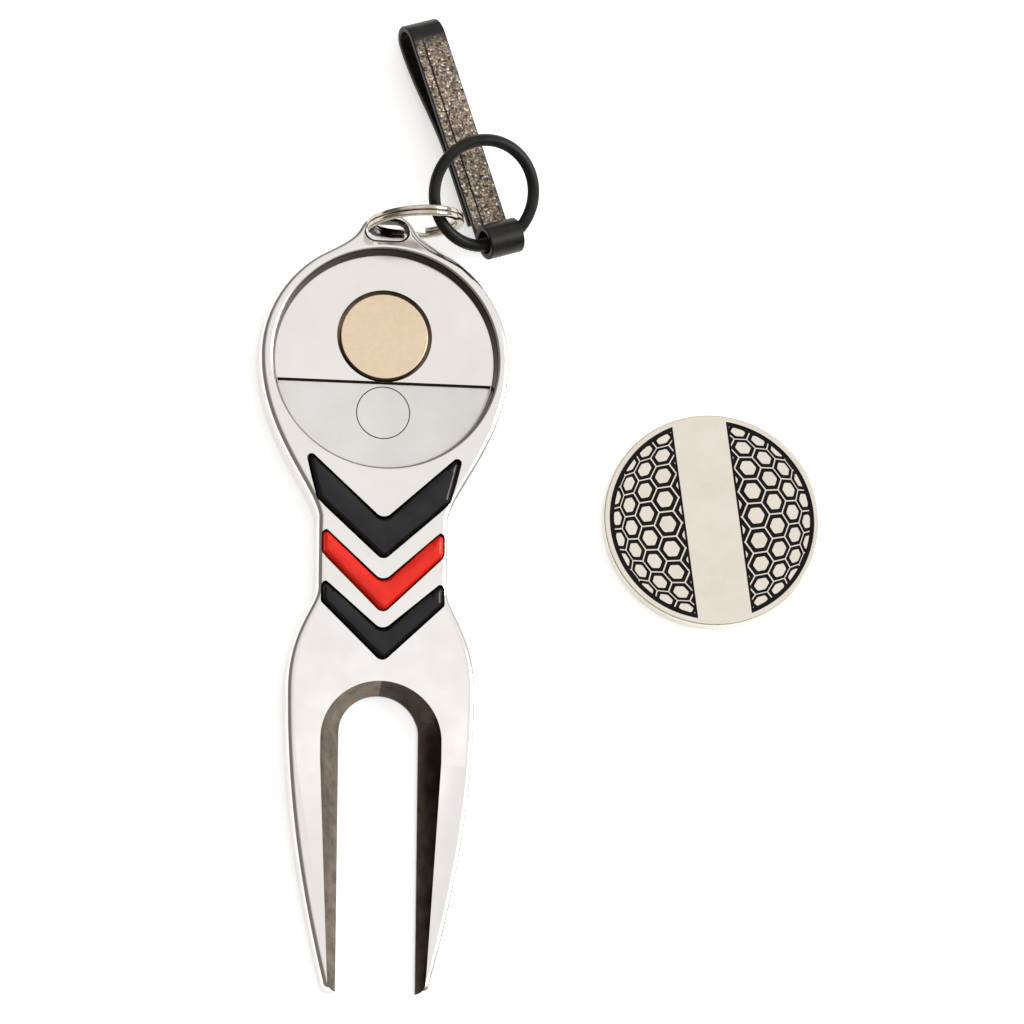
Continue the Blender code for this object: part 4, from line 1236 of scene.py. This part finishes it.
def sand_coat_with_painted_glints():
    """Stoved black with rough grit where the strip's mask is set, its grains painted as glints of light."""
    material = bpy.data.materials.new("black_sand_coat")
    material.use_nodes = True
    nodes, links = material.node_tree.nodes, material.node_tree.links
    nodes.clear()

    grain_frame = nodes.new("NodeFrame")
    grain_frame.label = "sand grains"
    paint_frame = nodes.new("NodeFrame")
    paint_frame.label = "black paint"
    relief_frame = nodes.new("NodeFrame")
    relief_frame.label = "grain and paint relief"

    place = nodes.new("ShaderNodeTexCoord")
    place.label = "place on the strip"
    mark = nodes.new("ShaderNodeAttribute")
    mark.label = "where the sand is"
    grains = nodes.new("ShaderNodeTexVoronoi")
    grains.label = "single grains"
    grain_pick = nodes.new("ShaderNodeSeparateColor")
    grain_pick.label = "one number for each grain"
    grain_glint_tones = nodes.new("ShaderNodeValToRGB")
    grain_glint_tones.label = "dark, grey, tan and bright grains"
    gaps = nodes.new("ShaderNodeMapRange")
    gaps.label = "black paint between grains"
    cover = nodes.new("ShaderNodeMath")
    cover.label = "grains only where sanded"
    paint_noise = nodes.new("ShaderNodeTexNoise")
    paint_noise.label = "cloudy paint"
    paint_tones = nodes.new("ShaderNodeValToRGB")
    paint_tones.label = "black to worn black"
    colour = nodes.new("ShaderNodeMix")
    colour.label = "paint under grains"
    roughness = nodes.new("ShaderNodeMapRange")
    roughness.label = "satin paint to rough sand"
    height = nodes.new("ShaderNodeMath")
    height.label = "grain height"
    grain_bump = nodes.new("ShaderNodeBump")
    grain_bump.label = "grain relief"
    paint_bump = nodes.new("ShaderNodeBump")
    paint_bump.label = "paint relief"
    shader = nodes.new("ShaderNodeBsdfPrincipled")
    shader.label = "coated steel"
    output = nodes.new("ShaderNodeOutputMaterial")
    output.label = "coat surface"

    rows = (
        (grain_frame, 400, (grains, grain_pick, grain_glint_tones, gaps, cover)),
        (paint_frame, 0, (paint_noise, paint_tones, colour, roughness)),
        (relief_frame, -400, (height, grain_bump, paint_bump)),
    )
    for group, row_height, members in rows:
        for index, node in enumerate(members):
            node.parent = group
            node.location = (index * 220 - 900, row_height)
    place.location = (-1300, 100)
    mark.location = (-1300, -200)
    shader.location = (400, 100)
    output.location = (700, 100)

    # The mask gives the grit's roughness and relief, and the painted glints with it.
    mark.attribute_name = "sand_and_glints"
    grains.inputs["Scale"].default_value = 4.5 / MM
    # Painted glints: the grey, tan and near-white grain colours stand in for light the black grit catches.
    tones = grain_glint_tones.color_ramp
    tones.interpolation = "CONSTANT"
    tones.elements[0].position = 0.0
    tones.elements[0].color = (0.045, 0.037, 0.03, 1)
    tones.elements[1].position = 0.16
    tones.elements[1].color = (0.17, 0.14, 0.115, 1)
    tones.elements.new(0.38).color = (0.31, 0.235, 0.165, 1)
    tones.elements.new(0.60).color = (0.42, 0.345, 0.27, 1)
    tones.elements.new(0.80).color = (0.58, 0.43, 0.28, 1)
    tones.elements.new(0.93).color = (0.90, 0.83, 0.70, 1)
    gaps.inputs["From Min"].default_value = 0.35
    gaps.inputs["From Max"].default_value = 0.60
    gaps.inputs["To Min"].default_value = 1.0
    gaps.inputs["To Max"].default_value = 0.45
    cover.operation = "MULTIPLY"
    paint_noise.inputs["Scale"].default_value = 0.9 / MM
    paint_noise.inputs["Detail"].default_value = 6.0
    paint_tones.color_ramp.elements[0].position = 0.35
    paint_tones.color_ramp.elements[0].color = (0.005, 0.0045, 0.004, 1)
    paint_tones.color_ramp.elements[1].position = 0.8
    paint_tones.color_ramp.elements[1].color = (0.018, 0.016, 0.014, 1)
    colour.data_type = "RGBA"
    roughness.inputs["To Min"].default_value = 0.32
    roughness.inputs["To Max"].default_value = 0.48
    height.operation = "MULTIPLY"
    grain_bump.inputs["Strength"].default_value = 0.7
    grain_bump.inputs["Distance"].default_value = 0.06 * MM
    grain_bump.invert = True
    paint_bump.inputs["Strength"].default_value = 0.2
    paint_bump.inputs["Distance"].default_value = 0.01 * MM
    shader.inputs["Specular IOR Level"].default_value = 0.25

    links.new(place.outputs["Object"], grains.inputs["Vector"])
    links.new(grains.outputs["Color"], grain_pick.inputs["Color"])
    links.new(grain_pick.outputs["Red"], grain_glint_tones.inputs["Fac"])
    links.new(grains.outputs["Distance"], gaps.inputs["Value"])
    links.new(gaps.outputs["Result"], cover.inputs[0])
    links.new(mark.outputs["Fac"], cover.inputs[1])
    links.new(place.outputs["Object"], paint_noise.inputs["Vector"])
    links.new(paint_noise.outputs["Fac"], paint_tones.inputs["Fac"])
    links.new(cover.outputs["Value"], colour.inputs["Factor"])
    links.new(paint_tones.outputs["Color"], colour.inputs["A"])
    links.new(grain_glint_tones.outputs["Color"], colour.inputs["B"])
    links.new(colour.outputs["Result"], shader.inputs["Base Color"])
    links.new(mark.outputs["Fac"], roughness.inputs["Value"])
    links.new(roughness.outputs["Result"], shader.inputs["Roughness"])
    links.new(grains.outputs["Distance"], height.inputs[0])
    links.new(mark.outputs["Fac"], height.inputs[1])
    links.new(height.outputs["Value"], grain_bump.inputs["Height"])
    links.new(paint_noise.outputs["Fac"], paint_bump.inputs["Height"])
    links.new(paint_bump.outputs["Normal"], grain_bump.inputs["Normal"])
    links.new(grain_bump.outputs["Normal"], shader.inputs["Normal"])
    links.new(shader.outputs["BSDF"], output.inputs["Surface"])
    return material


def strip_section(groove_depth):
    """The strip's cross-section and, for each point, whether grit and its painted glints can lie there."""
    half, thick, edge = CLIP_WIDTH / 2, CLIP_THICKNESS / 2, CLIP_EDGE_ROUND
    section = [(point, 0.0) for point in arc((half - edge, edge - thick), edge, -pi / 2, 0, 5)]
    section += [(point, 0.0) for point in arc((half - edge, thick - edge), edge, 0, pi / 2, 5)[:-1]]
    section.append((Vector((half - edge, thick)), 1.0))
    section.append((Vector((GROOVE_ACROSS + GROOVE_WIDTH / 2, thick)), 1.0))
    section.append((Vector((GROOVE_ACROSS + GROOVE_WIDTH / 5, thick - groove_depth)), 0.0))
    section.append((Vector((GROOVE_ACROSS - GROOVE_WIDTH / 5, thick - groove_depth)), 0.0))
    section.append((Vector((GROOVE_ACROSS - GROOVE_WIDTH / 2, thick)), 1.0))
    section.append((Vector((edge - half, thick)), 1.0))
    section += [(point, 0.0) for point in arc((edge - half, thick - edge), edge, pi / 2, pi, 5)[1:]]
    section += [(point, 0.0) for point in arc((edge - half, edge - thick), edge, pi, 3 * pi / 2, 5)]
    return section


bend_centre = CLIP_LENGTH - CLIP_BEND_RADIUS
path = [
    (Vector((CLIP_BACK_START, -CLIP_LEAF_STEP)), 0.0),
    (Vector((CLIP_CLOSED_LENGTH * 0.6, -CLIP_LEAF_STEP)), 0.0),
]
for point in cubic(
    (CLIP_CLOSED_LENGTH, -CLIP_LEAF_STEP),
    (CLIP_CLOSED_LENGTH + CLIP_CLOSED_HANDLE, -CLIP_LEAF_STEP),
    (bend_centre - CLIP_BEND_HANDLE, -2 * CLIP_BEND_RADIUS - CLIP_BEND_DIP),
    (bend_centre, -2 * CLIP_BEND_RADIUS),
    16,
):
    path.append((point, 0.0))
for point in arc((bend_centre, -CLIP_BEND_RADIUS), CLIP_BEND_RADIUS, -pi / 2, pi / 2, 24):
    path.append((point, 0.0))
# The mask fades out towards the bend and the curl, keeping the painted glints on the flat face that faces the
# light.
for index in range(1, 61):
    spot = Vector((bend_centre * (1 - index / 60), 0.0))
    path.append((spot, min(1.0, (bend_centre - spot.x) / SAND_AND_GLINT_FADE, spot.x / (SAND_AND_GLINT_FADE / 4))))
for point in arc((0, CLIP_CURL_RADIUS), CLIP_CURL_RADIUS, -pi / 2, -pi / 2 - CLIP_CURL_SWEEP, 52)[1:]:
    path.append((point, 0.0))
strip_levels = []
sand_and_glint_marks = []
for index, (spot, sanded_and_glinting) in enumerate(path):
    before = path[max(index - 1, 0)][0]
    after = path[min(index + 1, len(path) - 1)][0]
    run = (after - before).normalized()
    outward = Vector((run.y, -run.x))
    level = []
    for point, front in strip_section(GROOVE_DEPTH * sanded_and_glinting):
        place_on_strip = spot + outward * point.y
        level.append((point.x, place_on_strip.x, place_on_strip.y - CLIP_CURL_RADIUS))
        sand_and_glint_marks.append(front * sanded_and_glinting)
    strip_levels.append(level)
clip_joint = joint_named["clip_swing"]
lateral = Vector(clip_joint["axis"])
along = Vector((cos(CLIP_HEADING) * cos(CLIP_PITCH), sin(CLIP_HEADING) * cos(CLIP_PITCH), sin(CLIP_PITCH)))
clip_turned = Matrix((lateral, along, lateral.cross(along))).transposed().to_4x4()
black_coat_with_painted_glints = sand_coat_with_painted_glints()
strip = solid("folded_strip", loft(strip_levels), black_coat_with_painted_glints)
sand_and_glints = strip.data.attributes.new("sand_and_glints", "FLOAT", "POINT")
sand_and_glints.data.foreach_set("value", sand_and_glint_marks)
strip.data.transform(Matrix.Translation(clip_joint["pos_m"]) @ clip_turned)
smooth(strip, radians(50))
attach(strip, "clip")
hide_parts("belt_clip")
